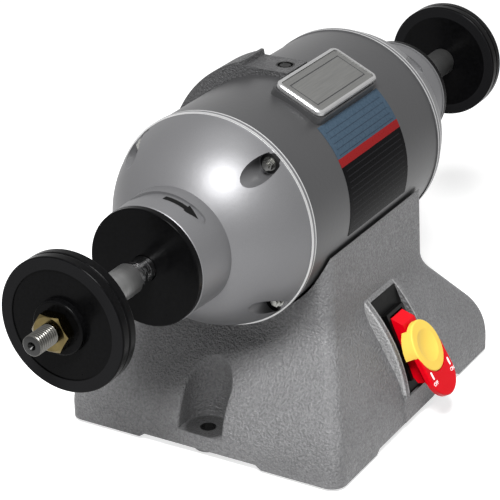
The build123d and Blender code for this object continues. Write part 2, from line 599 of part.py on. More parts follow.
def rating_label():
    band = ring(-LABEL_HALF_X, LABEL_HALF_X, BARREL_R, BARREL_R + LABEL_T)
    reach = BARREL_R * 2
    start = around_spindle(Pos(0, -reach / 2, SPINDLE_Z) * Box(reach * 2, reach, reach * 2), LABEL_FROM)
    stop = around_spindle(Pos(0, reach / 2, SPINDLE_Z) * Box(reach * 2, reach, reach * 2), LABEL_TO)
    return band & start & stop


def through_bolts():
    """Four long bolts, head on the right and nut on the left, with a short free end."""
    bolts = []
    for angle in through_angles():
        seat = THROUGH_SEAT_X + WASHER_T
        shank = rod(-seat - HEX_T - THROUGH_PROUD, seat + CUT, THROUGH_R, THROUGH_CIRCLE, angle)
        bolts.append(shank + hexagon(seat, seat + HEX_T, HEX_FLATS, THROUGH_CIRCLE, angle))
    return group(bolts)


def through_bolt_nuts():
    nuts = []
    for angle in through_angles():
        seat = THROUGH_SEAT_X + WASHER_T
        nut = hexagon(-seat - HEX_T, -seat, HEX_FLATS, THROUGH_CIRCLE, angle)
        nuts.append(nut - rod(-seat - HEX_T - CUT, -seat + CUT, THROUGH_R, THROUGH_CIRCLE, angle))
    return group(nuts)


def through_bolt_washers():
    washers = []
    for angle in through_angles():
        for x0 in (THROUGH_SEAT_X, -THROUGH_SEAT_X - WASHER_T):
            plain = rod(x0, x0 + WASHER_T, WASHER_R, THROUGH_CIRCLE, angle)
            washers.append(plain - rod(x0 - CUT, x0 + WASHER_T + CUT, THROUGH_R, THROUGH_CIRCLE, angle))
    return group(washers)


def motor_mount_bolts():
    bolts = []
    seat = BARREL_R + SADDLE_GAP + SADDLE_WALL
    for x, angle in mount_spots():
        shank = spoke(x, MOUNT_TIP_R, seat + CUT, MOUNT_R, angle)
        head = extrude(RegularPolygon(MOUNT_FLATS / 2, 6, major_radius=False), amount=MOUNT_HEAD_T)
        bolts.append(shank + around_spindle(Pos(x, 0, SPINDLE_Z + seat) * head, angle))
    return group(bolts)


def rear_strap():
    """Cast strap: a flat pad on top, a ridge, an arc down the barrel's back and a foot on the pedestal."""
    outer_r = BARREL_R + STRAP_T
    top = SPINDLE_Z
    pad = polygon([
        (STRAP_FRONT_Y, top), (STRAP_FRONT_Y, STRAP_PAD_Z), (STRAP_RIDGE_Y, STRAP_PAD_Z),
        (STRAP_RIDGE_Y + CUT, STRAP_RIDGE_Z), (STRAP_RIDGE_BACK_Y, STRAP_RIDGE_Z),
        (STRAP_RIDGE_BACK_Y + CUT, top),
    ])
    body = extrude(Plane.YZ * pad, amount=STRAP_HALF_X, both=True)
    back = disc(-STRAP_HALF_X, STRAP_HALF_X, outer_r)
    half, reach = STRAP_HALF_X, outer_r + 1
    back = back & slab(-half, half, STRAP_RIDGE_BACK_Y, reach, SPINDLE_Z, SPINDLE_Z + reach)
    body = body + back
    body = body + slab(-STRAP_HALF_X, STRAP_HALF_X, STRAP_FOOT_Y, outer_r, STRAP_FOOT_Z, SPINDLE_Z)
    body = body - disc(-STRAP_HALF_X * 2, STRAP_HALF_X * 2, BARREL_R)
    floor = STRAP_PAD_Z - STRAP_HOLE_DEPTH
    body = body - upright(STRAP_HOLE_X, STRAP_HOLE_Y, floor, STRAP_PAD_Z + CUT, STRAP_HOLE_R)
    body = body - upright(STRAP_HOLE_X, STRAP_HOLE_Y, SPINDLE_Z, STRAP_PAD_Z, STRAP_SCREW_R + 0.2)
    for z in (STRAP_SCREW_LOW, STRAP_SCREW_HIGH):
        drill = extrude(-Plane.XZ * Circle(STRAP_SCREW_R + 0.2), amount=2 * STRAP_T)
        body = body - Pos(0, STRAP_FOOT_Y - CUT, z) * drill
    return body


def rear_strap_screws():
    floor = STRAP_PAD_Z - STRAP_HOLE_DEPTH
    screw = sunk_screw(STRAP_SCREW_R, STRAP_PAD_SCREW, STRAP_HEAD_R, 2.0)
    solids = [Pos(STRAP_HOLE_X, STRAP_HOLE_Y, floor) * Rot(180, 0, 0) * screw]
    long_screw = sunk_screw(STRAP_SCREW_R, 16, STRAP_HEAD_R, STRAP_HEAD_T)
    back = BARREL_R + STRAP_T
    solids += [Pos(0, back, z) * Rot(90, 0, 0) * long_screw for z in (STRAP_SCREW_LOW, STRAP_SCREW_HIGH)]
    return group(solids)


# ---------------------------------------------------------------- inside the motor
def stator_core():
    core = ring(-STATOR_HALF, STATOR_HALF, STATOR_BORE_R, STATOR_R)
    half, slot_foot = STATOR_HALF + CUT, SPINDLE_Z + STATOR_BORE_R - 3 * CUT
    slot = slab(-half, half, -STATOR_SLOT_HALF, STATOR_SLOT_HALF, slot_foot, SPINDLE_Z + STATOR_SLOT_R)
    step = 360 / STATOR_SLOTS
    return core - joined([around_spindle(slot, step * k) for k in range(STATOR_SLOTS)])


def stator_windings():
    x0, x1 = STATOR_HALF, WINDING_END_X
    face = outline(
        [(x0, WINDING_IN_R), (x1, WINDING_IN_R), (x1, WINDING_OUT_R), (x0, WINDING_OUT_R)],
        [0, WINDING_ROUND, WINDING_ROUND, 0],
    )
    coil = turned(face)
    return group([coil, other_end(coil)])


def start_switch_plate():
    return ring(SWITCH_RING_X0, SPIGOT_X, SWITCH_RING_IN_R, SWITCH_RING_R)


def bearing_ring(r0, r1, groove_r):
    """One ring of the +X bearing with its raceway."""
    x0, x1 = BEARING_X, BEARING_X + BEARING_W
    body = ring(x0, x1, r0, r1)
    middle = (x0 + x1) / 2
    race = turned(Pos(middle, BALL_PITCH_R) * Circle(groove_r))
    return body - race


def bearing_outer_rings():
    one = bearing_ring(RACE_OUTER_R, BEARING_R, BALL_R + RACE_GAP)
    return group([one, other_end(one)])


def bearing_inner_rings():
    one = bearing_ring(BEARING_BORE_R, RACE_INNER_R, BALL_R + RACE_GAP)
    return group([one, other_end(one)])


def ball_angles(offset=0.0):
    return [360 / BALL_COUNT * (k + offset) for k in range(BALL_COUNT)]


def bearing_balls():
    middle = BEARING_X + BEARING_W / 2
    ball = Pos(middle, 0, SPINDLE_Z + BALL_PITCH_R) * Sphere(BALL_R)
    return group([around_spindle(ball, angle) for angle in ball_angles()])


def ball_cage():
    """Crown cage: a ring beside the balls with a finger between each pair."""
    body = ring(CAGE_X0, CAGE_X1, CAGE_IN_R, CAGE_OUT_R)
    fingers = [rod(CAGE_X0, CAGE_FINGER_X, CAGE_FINGER_R, BALL_PITCH_R, angle) for angle in ball_angles(0.5)]
    return joined([body] + fingers)


def wave_washer():
    return ring(BEARING_X + BEARING_W, BEARING_X + BEARING_W + WAVE_T, HUB_SHOULDER_R, BEARING_R - 0.3)


def rotor_core():
    return ring(-ROTOR_HALF, ROTOR_HALF, ROTOR_SEAT_R, ROTOR_R)


def rotor_end_rings():
    end = ring(ROTOR_HALF, END_RING_X, END_RING_IN_R, END_RING_OUT_R)
    blade = slab(END_RING_X - CUT, BLADE_END_X, -BLADE_T / 2, BLADE_T / 2, SPINDLE_Z + END_RING_IN_R + CUT,
                 SPINDLE_Z + END_RING_OUT_R - CUT)
    blades = [around_spindle(blade, 360 / BLADE_COUNT * k) for k in range(BLADE_COUNT)]
    end = joined([end] + blades)
    return group([end, other_end(end)])


def start_switch_governor():
    """Centrifugal plate and collar that open the start circuit as the motor speeds up."""
    hub = ring(GOVERNOR_X0, GOVERNOR_X1, SHOULDER_R, GOVERNOR_HUB_R)
    plate = ring(GOVERNOR_X0, GOVERNOR_X0 + 2, SHOULDER_R, GOVERNOR_R)
    low, high = SPINDLE_Z + WEIGHT_R0, SPINDLE_Z + WEIGHT_R1
    weight = slab(GOVERNOR_X0 + CUT, GOVERNOR_X1 - 3, -WEIGHT_HALF, WEIGHT_HALF, low, high)
    return joined([hub, plate, around_spindle(weight, 0), around_spindle(weight, 180)])


def capacitor_rod(half_x, r):
    lift = COVER_PLATE_Z + COVER_PLATE_T + CAPACITOR_R
    return Pos(-half_x, CAPACITOR_Y, lift) * extrude(Plane.YZ * Circle(r), amount=2 * half_x)


def capacitor():
    can = capacitor_rod(CAPACITOR_HALF_X, CAPACITOR_R)
    return fillet(can.edges(), CAPACITOR_ROUND)


def capacitor_strap():
    """Band over the capacitor with two feet on the bottom cover."""
    half, outer_r = CAP_STRAP_HALF_X, CAPACITOR_R + CAP_STRAP_T
    floor = COVER_PLATE_Z + COVER_PLATE_T
    middle = floor + CAPACITOR_R

    def across(half_x, half_y, z0, z1):
        return slab(-half_x, half_x, CAPACITOR_Y - half_y, CAPACITOR_Y + half_y, z0, z1)

    arch = capacitor_rod(half, outer_r) & across(half, outer_r, middle, middle + 2 * outer_r)
    legs = across(half, outer_r, floor, middle)
    feet = across(half, CAP_STRAP_REACH, floor, floor + CAP_STRAP_T)
    hollow = capacitor_rod(half + CUT, CAPACITOR_R) + across(half + CUT, CAPACITOR_R, floor - CUT, middle)
    return arch + legs + feet - hollow


# ---------------------------------------------------------------- spindle
def spindle_shaft():
    half = [
        (ROTOR_SEAT_HALF, ROTOR_SEAT_R), (ROTOR_SEAT_HALF, SHOULDER_R), (BEARING_X, SHOULDER_R),
        (BEARING_X, NECK_R),
        (SLEEVE_START, NECK_R), (SLEEVE_START, STEP_R), (SLEEVE_END, STEP_R), (SLEEVE_END, ARBOR_R),
        (RUNOUT_X, ARBOR_R), (RUNOUT_X, ARBOR_R - RUNOUT_DEPTH),
        (RUNOUT_X + RUNOUT_W, ARBOR_R - RUNOUT_DEPTH),
        (RUNOUT_X + RUNOUT_W, ARBOR_R),
        (SHAFT_END - SHAFT_CHAMFER, ARBOR_R), (SHAFT_END, ARBOR_R - SHAFT_CHAMFER),
        (SHAFT_END, CENTRE_HOLE_R),
        (SHAFT_END - CENTRE_HOLE_DEPTH, 0),
    ]
    return turned(polygon([(-x, r) for x, r in reversed(half)] + half))


def spacer_sleeve():
    face = outline(
        [(SLEEVE_START, STEP_R), (SLEEVE_END, STEP_R), (SLEEVE_END, SLEEVE_R), (SLEEVE_START, SLEEVE_R)],
        [0, 0, 0.4, 0.8],
    )
    return turned(face)


def flange(x_seat, x_face, bore_r, relief_at_seat):
    """Wheel flange of the +X end between two faces; the relieved face is the one that meets the wheel."""
    face = outline(
        [(x_seat, bore_r), (x_face, bore_r), (x_face, FLANGE_R), (x_seat, FLANGE_R)],
        [0, 0, RIM_ROUND, RIM_ROUND],
    )
    body = turned(face)
    wheel_face = x_seat if relief_at_seat else x_face
    inward = 1 if relief_at_seat else -1
    a, b = sorted([wheel_face - inward, wheel_face + inward * FLANGE_RELIEF_DEPTH])
    body = body - ring(a, b, STEP_R + 6, FLANGE_RELIEF_R)
    return body


def inner_flange():
    return flange(SLEEVE_END, SLEEVE_END + FLANGE_T, ARBOR_R, False)


def outer_flange():
    x0 = SLEEVE_END + FLANGE_T + FLANGE_GAP
    x1 = SLEEVE_END + 2 * FLANGE_T
    body = flange(x0, x1, ARBOR_R + RUN_CLEARANCE, True)
    body = body - disc(x1 - FLANGE_FACE_DEPTH, x1 + CUT, FLANGE_FACE_R)
    boss = outline(
        [(x1 - 2 * FLANGE_FACE_DEPTH, ARBOR_R + RUN_CLEARANCE), (NUT_X0, ARBOR_R + RUN_CLEARANCE),
         (NUT_X0, HUB_BOSS_R), (x1 - 2 * FLANGE_FACE_DEPTH, HUB_BOSS_R)],
        [0, 0, RIM_ROUND, 0],
    )
    return body + turned(boss)


def spindle_nut():
    body = hexagon(NUT_X0, NUT_X1, NUT_FLATS)
    corner_r = NUT_FLATS / 2 / cos(radians(30))
    face_r = NUT_FLATS / 2 - NUT_FACE_STEP
    cone = outline(
        [(NUT_X0, 0), (NUT_X0, face_r), (NUT_X0 + NUT_CHAMFER, corner_r), (NUT_X1 - NUT_CHAMFER, corner_r),
         (NUT_X1, face_r), (NUT_X1, 0)],
        0,
    )
    return (body & turned(cone)) - disc(NUT_X0 - CUT, NUT_X1 + CUT, ARBOR_R + RUN_CLEARANCE)


# ---------------------------------------------------------------- switch
def sunk_cone():
    """Flared seat of a plate screw, from the plate's face inwards."""
    return Pos(0, 0, -PLATE_SCREW_SINK / 2) * Cone(SMALL_SCREW_R, PLATE_SCREW_HEAD_R, PLATE_SCREW_SINK)


def on_plate_screws(shape):
    return [switch_plane().location * Pos(0, side * PLATE_SCREW_U, 0) * shape for side in (-1, 1)]


def switch_plate():
    sketch = RectangleRounded(2 * PLATE_HALF_X, 2 * PLATE_HALF_U, PLATE_CORNER)
    plate = switch_plane().location * (Pos(0, 0, -PLATE_T) * extrude(sketch, amount=PLATE_T))
    gap = 0.2
    plate = plate - plate_slab(SWITCH_HALF_X + gap, SWITCH_LOW - gap, SWITCH_HIGH + gap, -PLATE_T - CUT, 1)
    drill = Pos(0, 0, -PLATE_T - CUT) * extrude(Circle(SMALL_SCREW_R), amount=PLATE_T + 2)
    for hole in on_plate_screws(sunk_cone() + drill):
        plate = plate - hole
    return plate


def switch_plate_screws():
    shank = Pos(0, 0, -PLATE_SCREW_LENGTH) * extrude(Circle(SMALL_SCREW_R), amount=PLATE_SCREW_LENGTH)
    return group(on_plate_screws(sunk_cone() + shank))


def pivot_rod(half_x, r):
    rod_x = extrude(Plane.YZ * Circle(r), amount=2 * half_x)
    return switch_plane().location * Pos(-half_x, PIVOT_U, PIVOT_W) * rod_x


def switch_body():
    """Moulded body behind the plate and its bezel in front, open where the paddle rocks."""
    body = plate_slab(SWITCH_HALF_X, SWITCH_LOW, SWITCH_HIGH, -SWITCH_DEPTH, SWITCH_STEP_W)
    wide = SWITCH_HALF_X + SWITCH_FLANGE
    bezel = plate_slab(wide, SWITCH_POCKET_LOW, SWITCH_HIGH + SWITCH_FLANGE, 0, SWITCH_FRONT_W)
    well = plate_slab(
        SWITCH_POCKET_HALF_X, SWITCH_POCKET_LOW, SWITCH_POCKET_HIGH, SWITCH_POCKET_W, SWITCH_FRONT_W + 1
    )
    return body + bezel - well - pivot_rod(2 * wide, PIVOT_R)


def switch_pivot_pin():
    return pivot_rod(SWITCH_HALF_X + SWITCH_FLANGE, PIVOT_R)


def key_frame():
    """Frame of the key's face: z is 0 at the face and grows outwards."""
    return switch_plane().location * Pos(0, KEY_U, KEY_W) * Rot(-KEY_TILT, 0, 0)


def key_slab(half_x, v0, v1, z0, z1):
    return key_frame() * Pos(0, (v0 + v1) / 2, (z0 + z1) / 2) * Box(2 * half_x, v1 - v0, z1 - z0)


def key_oval(grow, z0, z1):
    sketch = Ellipse(KEY_HALF_X + grow, KEY_HALF_V + grow)
    return key_frame() * Pos(0, 0, z0) * extrude(sketch, amount=z1 - z0)


def key_prong(grow, depth):
    v = KEY_PRONG_V / 2 + grow
    return key_slab(KEY_PRONG_X / 2 + grow, -v, v, -depth, -KEY_SEAT_D + CUT)


def paddle_block(grow):
    """The narrow part of the paddle, from its side profile."""
    return plate_profile(BLOCK_SIDE, PADDLE_HALF_X + grow)


def paddle_tongue():
    """Flat tongue with a round tip, wider than the block, and its flared skirt."""
    top = KEY_SHOULDER_V - KEY_GAP
    outline_2d = Pos(0, (top + TONGUE_TIP_V) / 2) * Rectangle(2 * TONGUE_HALF_X, top - TONGUE_TIP_V)
    outline_2d = outline_2d + Pos(0, TONGUE_TIP_V) * Circle(TONGUE_HALF_X)
    flat = Pos(0, 0, -TONGUE_T) * extrude(outline_2d, amount=TONGUE_T)
    front = [e for e in flat.edges() if e.center().Z > -0.1 and e.center().Y < top - 1]
    flat = fillet(front, TONGUE_ROUND)
    low = Pos(0, (top + SKIRT_LOW_V) / 2, -SKIRT_DEPTH) * Rectangle(2 * PADDLE_HALF_X, top - SKIRT_LOW_V)
    wide = 2 * TONGUE_HALF_X - 1
    high = Pos(0, (top + SKIRT_HIGH_V) / 2, 1 - TONGUE_T) * Rectangle(wide, top - SKIRT_HIGH_V)
    return key_frame() * (flat + loft([low, high]))


def switch_paddle():
    """Red paddle: a narrow block that rocks in the bezel and a wide tongue that the hand strikes."""
    body = paddle_block(0) + paddle_tongue()
    body = body - key_oval(KEY_GAP, -KEY_SEAT_D - KEY_GAP, KEY_SEAT_D)
    above_shoulder = key_slab(2 * KEY_HALF_X, KEY_SHOULDER_V - KEY_GAP, 2 * KEY_HALF_V, -SKIRT_DEPTH, KEY_SEAT_D)
    over_block = plate_slab(2 * KEY_HALF_X, -KEY_HALF_V, 2 * KEY_HALF_V, BLOCK_TOP_W, 3 * BLOCK_TOP_W)
    body = body - (above_shoulder & over_block)
    body = body - key_prong(KEY_GAP, KEY_PRONG_DEPTH + KEY_GAP)
    return body + pivot_rod(PADDLE_HALF_X, PIVOT_HUB_R) - pivot_rod(2 * PADDLE_HALF_X, PIVOT_HOLE_R)


def switch_key():
    """Yellow key: a dished oval cap that straddles the block above its shoulder, with a prong behind."""
    cap = key_oval(0, -2 * SKIRT_DEPTH, 0)
    cap = cap & plate_slab(2 * KEY_HALF_X, -2 * KEY_HALF_V, 2 * KEY_HALF_V, KEY_BACK_W, 2 * KEY_W)
    thin = key_slab(2 * KEY_HALF_X, -2 * KEY_HALF_V, KEY_SHOULDER_V, -2 * SKIRT_DEPTH, -KEY_SEAT_D)
    cap = cap - thin
    over_block = plate_slab(
        PADDLE_HALF_X + KEY_GAP, -2 * KEY_HALF_V, 2 * KEY_HALF_V, 0, BLOCK_TOP_W + KEY_GAP
    )
    cap = cap - over_block
    rim = [e for e in cap.edges() if e.length > 4 * KEY_HALF_V]
    cap = fillet(rim, KEY_ROUND)
    sink = KEY_DISH_R - sqrt(KEY_DISH_R ** 2 - KEY_DISH_HALF ** 2)
    cap = cap - key_frame() * Pos(0, 0, KEY_DISH_R - sink) * Sphere(KEY_DISH_R)
    return cap + key_prong(0, KEY_PRONG_DEPTH)


# ---------------------------------------------------------------- the whole lathe
def build():
    bell = end_bell()
    cap = end_cap(BEARING_X + BEARING_W + 0.05)
    balls, cage = bearing_balls(), ball_cage()
    sleeve, inner, outer, nut = spacer_sleeve(), inner_flange(), outer_flange(), spindle_nut()
    nodes = {
        "pedestal": pedestal(),
        "rubber_feet": rubber_feet(),
        "foot_screws": foot_screws(),
        "bottom_cover": bottom_cover(),
        "bottom_cover_screws": bottom_cover_screws(),
        "cable_gland": cable_gland(),
        "capacitor": capacitor(),
        "capacitor_strap": capacitor_strap(),
        "motor_barrel": motor_barrel(),
        "motor_mount_bolts": motor_mount_bolts(),
        "right_end_bell": bell,
        "left_end_bell": other_end(bell),
        "right_bearing_cover": end_cap(BEARING_X + BEARING_W + WAVE_T),
        "left_bearing_cover": other_end(cap),
        "through_bolts": through_bolts(),
        "through_bolt_nuts": through_bolt_nuts(),
        "through_bolt_washers": through_bolt_washers(),
        "rear_strap": rear_strap(),
        "rear_strap_screws": rear_strap_screws(),
        "badge_bezel": badge_bezel(),
        "badge_plate": badge_plate(),
        "rating_label": rating_label(),
        "stator_core": stator_core(),
        "stator_windings": stator_windings(),
        "start_switch_plate": start_switch_plate(),
        "bearing_outer_rings": bearing_outer_rings(),
        "wave_washer": wave_washer(),
        "switch_plate": switch_plate(),
        "switch_plate_screws": switch_plate_screws(),
        "switch_body": switch_body(),
        "switch_pivot_pin": switch_pivot_pin(),
        "spindle_shaft": spindle_shaft(),
        "rotor_core": rotor_core(),
        "rotor_end_rings": rotor_end_rings(),
        "bearing_inner_rings": bearing_inner_rings(),
        "start_switch_governor": start_switch_governor(),
        "right_spacer_sleeve": sleeve,
        "left_spacer_sleeve": other_end(sleeve),
        "right_inner_flange": inner,
        "left_inner_flange": other_end(inner),
        "right_bearing_balls": balls,
        "left_bearing_balls": other_end(balls),
        "right_ball_cage": cage,
        "left_ball_cage": other_end(cage),
        "right_outer_flange": outer,
        "left_outer_flange": other_end(outer),
        "right_spindle_nut": nut,
        "left_spindle_nut": other_end(nut),
        "switch_paddle": switch_paddle(),
        "switch_key": switch_key(),
    }
    os.makedirs("parts", exist_ok=True)
    for name, shape in nodes.items():
        export_step(shape, "parts/" + name + ".step")


build()
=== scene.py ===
"""Double-ended polishing lathe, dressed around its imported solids. Metres, +Z up, spindle along X."""
from math import cos, pi, radians, sin
import bmesh
import bpy
import numpy as np
from mathutils import Matrix, Vector


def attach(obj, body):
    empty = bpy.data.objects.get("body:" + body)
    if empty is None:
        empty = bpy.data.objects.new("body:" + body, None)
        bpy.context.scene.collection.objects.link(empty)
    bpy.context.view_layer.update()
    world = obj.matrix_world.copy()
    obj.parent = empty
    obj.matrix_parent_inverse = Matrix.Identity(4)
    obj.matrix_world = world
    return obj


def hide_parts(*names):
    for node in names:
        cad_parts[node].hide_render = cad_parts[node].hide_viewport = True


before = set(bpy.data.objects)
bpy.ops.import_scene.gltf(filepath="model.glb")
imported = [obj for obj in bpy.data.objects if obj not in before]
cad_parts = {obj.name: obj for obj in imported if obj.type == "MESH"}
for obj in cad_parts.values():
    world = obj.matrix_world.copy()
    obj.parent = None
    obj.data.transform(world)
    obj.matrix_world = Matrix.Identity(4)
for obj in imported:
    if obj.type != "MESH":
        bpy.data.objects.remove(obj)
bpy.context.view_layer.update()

# ---------------------------------------------------------------- camera
# A long lens in front of the lathe's left end, above it and looking down. Its place, direction and tilt
# were solved from the ellipses and straight edges of the photograph.
CAMERA_PLACE = Vector((-1.3664, -0.7668, 0.8421))
CAMERA_AIM = Vector((0.78404, 0.45927, -0.41755))
CAMERA_RIGHT = Vector((0.49973, -0.86606, -0.01425))
SENSOR_MM, LENS_MM, CLIP_END = 36.0, 148.8, 50.0

camera_data = bpy.data.cameras.new("camera")
camera = bpy.data.objects.new("camera", camera_data)
bpy.context.scene.collection.objects.link(camera)
turn = Matrix((CAMERA_RIGHT, CAMERA_RIGHT.cross(CAMERA_AIM), -CAMERA_AIM)).transposed().to_4x4()
camera.matrix_world = Matrix.Translation(CAMERA_PLACE) @ turn
camera_data.sensor_width = SENSOR_MM
camera_data.lens = LENS_MM
camera_data.clip_end = CLIP_END
bpy.context.scene.camera = camera
bpy.context.scene.view_settings.view_transform = "Standard"


# ---------------------------------------------------------------- stage and light
# A white sweep under a broad key lamp, high at the front left, with weak lamps overhead and at the left.
# The camera, gloss and glass see the sweep as white, and the lathe's own soft shadow stays on it.
class Net:
    """A socket of a node tree. Sums, products and so on of sockets and numbers add their Math nodes."""

    def __init__(self, tree, socket):
        self.tree, self.socket = tree, socket

    def node(self, kind, settings=None, out=0, **inputs):
        """Any other node: its settings are set first, then its inputs by name (_ for a space) or i0, i1."""
        made = self.tree.nodes.new(kind)
        for key, value in (settings or {}).items():
            setattr(made, key, value)
        for key, value in inputs.items():
            numbered = key[0] == "i" and key[1:].isdigit()
            target = made.inputs[int(key[1:])] if numbered else made.inputs[key.replace("_", " ")]
            if isinstance(value, Net):
                self.tree.links.new(value.socket, target)
            else:
                target.default_value = value
        return Net(self.tree, made.outputs[out] if len(made.outputs) else None)

    def math(self, operation, a, b=0.0, c=0.0):
        return self.node("ShaderNodeMath", {"operation": operation}, i0=a, i1=b, i2=c)

    def __add__(self, other): return self.math("ADD", self, other)
    def __radd__(self, other): return self.math("ADD", other, self)
    def __sub__(self, other): return self.math("SUBTRACT", self, other)
    def __rsub__(self, other): return self.math("SUBTRACT", other, self)
    def __mul__(self, other): return self.math("MULTIPLY", self, other)
    def __rmul__(self, other): return self.math("MULTIPLY", other, self)
    def __truediv__(self, other): return self.math("DIVIDE", self, other)
    def below(self, other): return self.math("LESS_THAN", self, other)
    def above(self, other): return self.math("GREATER_THAN", self, other)
    def size(self): return self.math("ABSOLUTE", self)
    def clamped(self): return self.math("MINIMUM", self.math("MAXIMUM", self, 0.0), 1.0)

    def blend(self, a, b):
        """Colour a where this socket is 0 and colour b where it is 1."""
        return self.node("ShaderNodeMix", {"data_type": "RGBA"}, out=2, i0=self, i6=a, i7=b)

    def parts(self):
        """The three numbers of this vector."""
        made = self.tree.nodes.new("ShaderNodeSeparateXYZ")
        self.tree.links.new(self.socket, made.inputs[0])
        return [Net(self.tree, socket) for socket in made.outputs]


def new_net(owner):
    owner.use_nodes = True
    owner.node_tree.nodes.clear()
    return Net(owner.node_tree, None)


def rgb(red, green, blue):
    """A colour as it looks on the screen, from 0 to 255, made linear."""
    def linear(v):
        return v / 12.92 if v <= 0.04045 else ((v + 0.055) / 1.055) ** 2.4
    return tuple(linear(v / 255) for v in (red, green, blue)) + (1.0,)


def seen_directly(net):
    """1 for what the camera, a glossy surface or glass sees, 0 for the light that falls on the lathe."""
    ray = net.node("ShaderNodeLightPath").socket.node
    kinds = [Net(net.tree, ray.outputs[kind])
             for kind in ("Is Camera Ray", "Is Glossy Ray", "Is Transmission Ray")]
    return net.math("MAXIMUM", net.math("MAXIMUM", kinds[0], kinds[1]), kinds[2])


WHITE = (1, 1, 1, 1)
WORLD_LIGHT, WORLD_SEEN = 0.12, 1.0
world = bpy.data.worlds.new("studio")
bpy.context.scene.world = world
net = new_net(world)
soft = net.node("ShaderNodeBackground", Color=WHITE, Strength=WORLD_LIGHT)
white = net.node("ShaderNodeBackground", Color=WHITE, Strength=WORLD_SEEN)
sky = net.node("ShaderNodeMixShader", i0=seen_directly(net), i1=soft, i2=white)
net.node("ShaderNodeOutputWorld", Surface=sky)

FLOOR_Z, FLOOR_HALF = -0.003, 6.0        # the floor lies under the rubber feet
FLOOR_GREY, FLOOR_GLOW = 0.6, 0.7
floor_mesh = bpy.data.meshes.new("floor")
floor_mesh.from_pydata(
    [(x * FLOOR_HALF, y * FLOOR_HALF, FLOOR_Z) for x, y in ((-1, -1), (1, -1), (1, 1), (-1, 1))],
    [], [(0, 1, 2, 3)])
floor = bpy.data.objects.new("floor", floor_mesh)
bpy.context.scene.collection.objects.link(floor)
floor_look = bpy.data.materials.new("floor_white")
net = new_net(floor_look)
matt = net.node("ShaderNodeBsdfDiffuse", Color=(FLOOR_GREY, FLOOR_GREY, FLOOR_GREY, 1))
glow = net.node("ShaderNodeEmission", Color=WHITE, Strength=FLOOR_GLOW)
lit = net.node("ShaderNodeAddShader", i0=matt, i1=glow)
sweep = net.node("ShaderNodeMixShader", i0=seen_directly(net), i1=matt, i2=lit)
net.node("ShaderNodeOutputMaterial", Surface=sweep)
floor_mesh.materials.append(floor_look)


def softbox(name, place, aim, width, height, watts):
    data = bpy.data.lights.new(name, "AREA")
    data.shape, data.size, data.size_y, data.energy = "RECTANGLE", width, height, watts
    lamp = bpy.data.objects.new(name, data)
    bpy.context.scene.collection.objects.link(lamp)
    towards = (Vector(aim) - Vector(place)).to_track_quat("-Z", "Y").to_matrix().to_4x4()
    lamp.matrix_world = Matrix.Translation(place) @ towards


softbox("key_lamp", (-0.94, -0.44, 1.5), (-0.05, 0, 0.17), 0.62, 0.62, 66)
softbox("top_lamp", (0.2, 0.1, 1.9), (0, 0, 0.15), 1.2, 0.4, 4)
softbox("left_lamp", (-1.8, 0.3, 0.9), (0, 0, 0.18), 0.6, 0.6, 2)


# ---------------------------------------------------------------- pedestal
# Grey iron cast in sand, cleaned of flash and painted with a thick grey hammer paint.
# The paint keeps the grain of the sand and pools a little darker in its pits.
POCKET_X, POCKET_R = 0.1285, 0.0206                      # a bench-bolt pocket's middle and radius
POCKET_FLOOR, POCKET_TOP, POCKET_FADE = 0.0164, 0.052, 0.036
POCKET_SHADE_EDGE, POCKET_SHADE_SHARE = 260.0, 0.72                    # how fast the pockets' painted shade sets in per metre, and how dark
BOLT_HOLE_R = 0.0067
POD_RIMS, RIM_GLINT_HALF, RIM_GLINT_SHARE = (0.0276, 0.0225), 0.0007, 0.4      # the switch pod's two edges, with a painted highlight
POD_FRONT_Y, POD_Z0, POD_Z1 = -0.089, 0.03, 0.108
HOLE_ABOVE_Z = 0.2                                       # the painted shade of a screw hole is only on top


def new_look(name):
    look = bpy.data.materials.new(name)
    return look, new_net(look)


def object_place(net):
    return net.node("ShaderNodeTexCoord", out=3)


def distance(net, a, b):
    """Length of the slope whose legs are a and b."""
    return net.math("SQRT", a * a + b * b)


def noise(net, place, scale, detail=2.0, stretch=(1, 1, 1), roughness=0.5):
    """Noise of about 0.5 on average. A stretch below 1 draws it out along that axis."""
    mapped = net.node("ShaderNodeMapping", Vector=place, Scale=stretch)
    return net.node("ShaderNodeTexNoise", Vector=mapped, Scale=scale, Detail=detail, Roughness=roughness)


def finish(net, colour, roughness, metallic=0.0, height=None, depth=0.0001, **constants):
    """The material's shader. Height is a pattern from 0 to 1 that lifts the surface by depth in metres."""
    inputs = dict(Base_Color=colour, Roughness=roughness, Metallic=metallic, **constants)
    if height is not None:
        inputs["Normal"] = net.node("ShaderNodeBump", Strength=1.0, Distance=depth, Height=height)
    net.node("ShaderNodeOutputMaterial", Surface=net.node("ShaderNodeBsdfPrincipled", **inputs))


def dress(look, *nodes):
    for node in nodes:
        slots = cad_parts[node].data.materials
        slots.clear()
        slots.append(look)


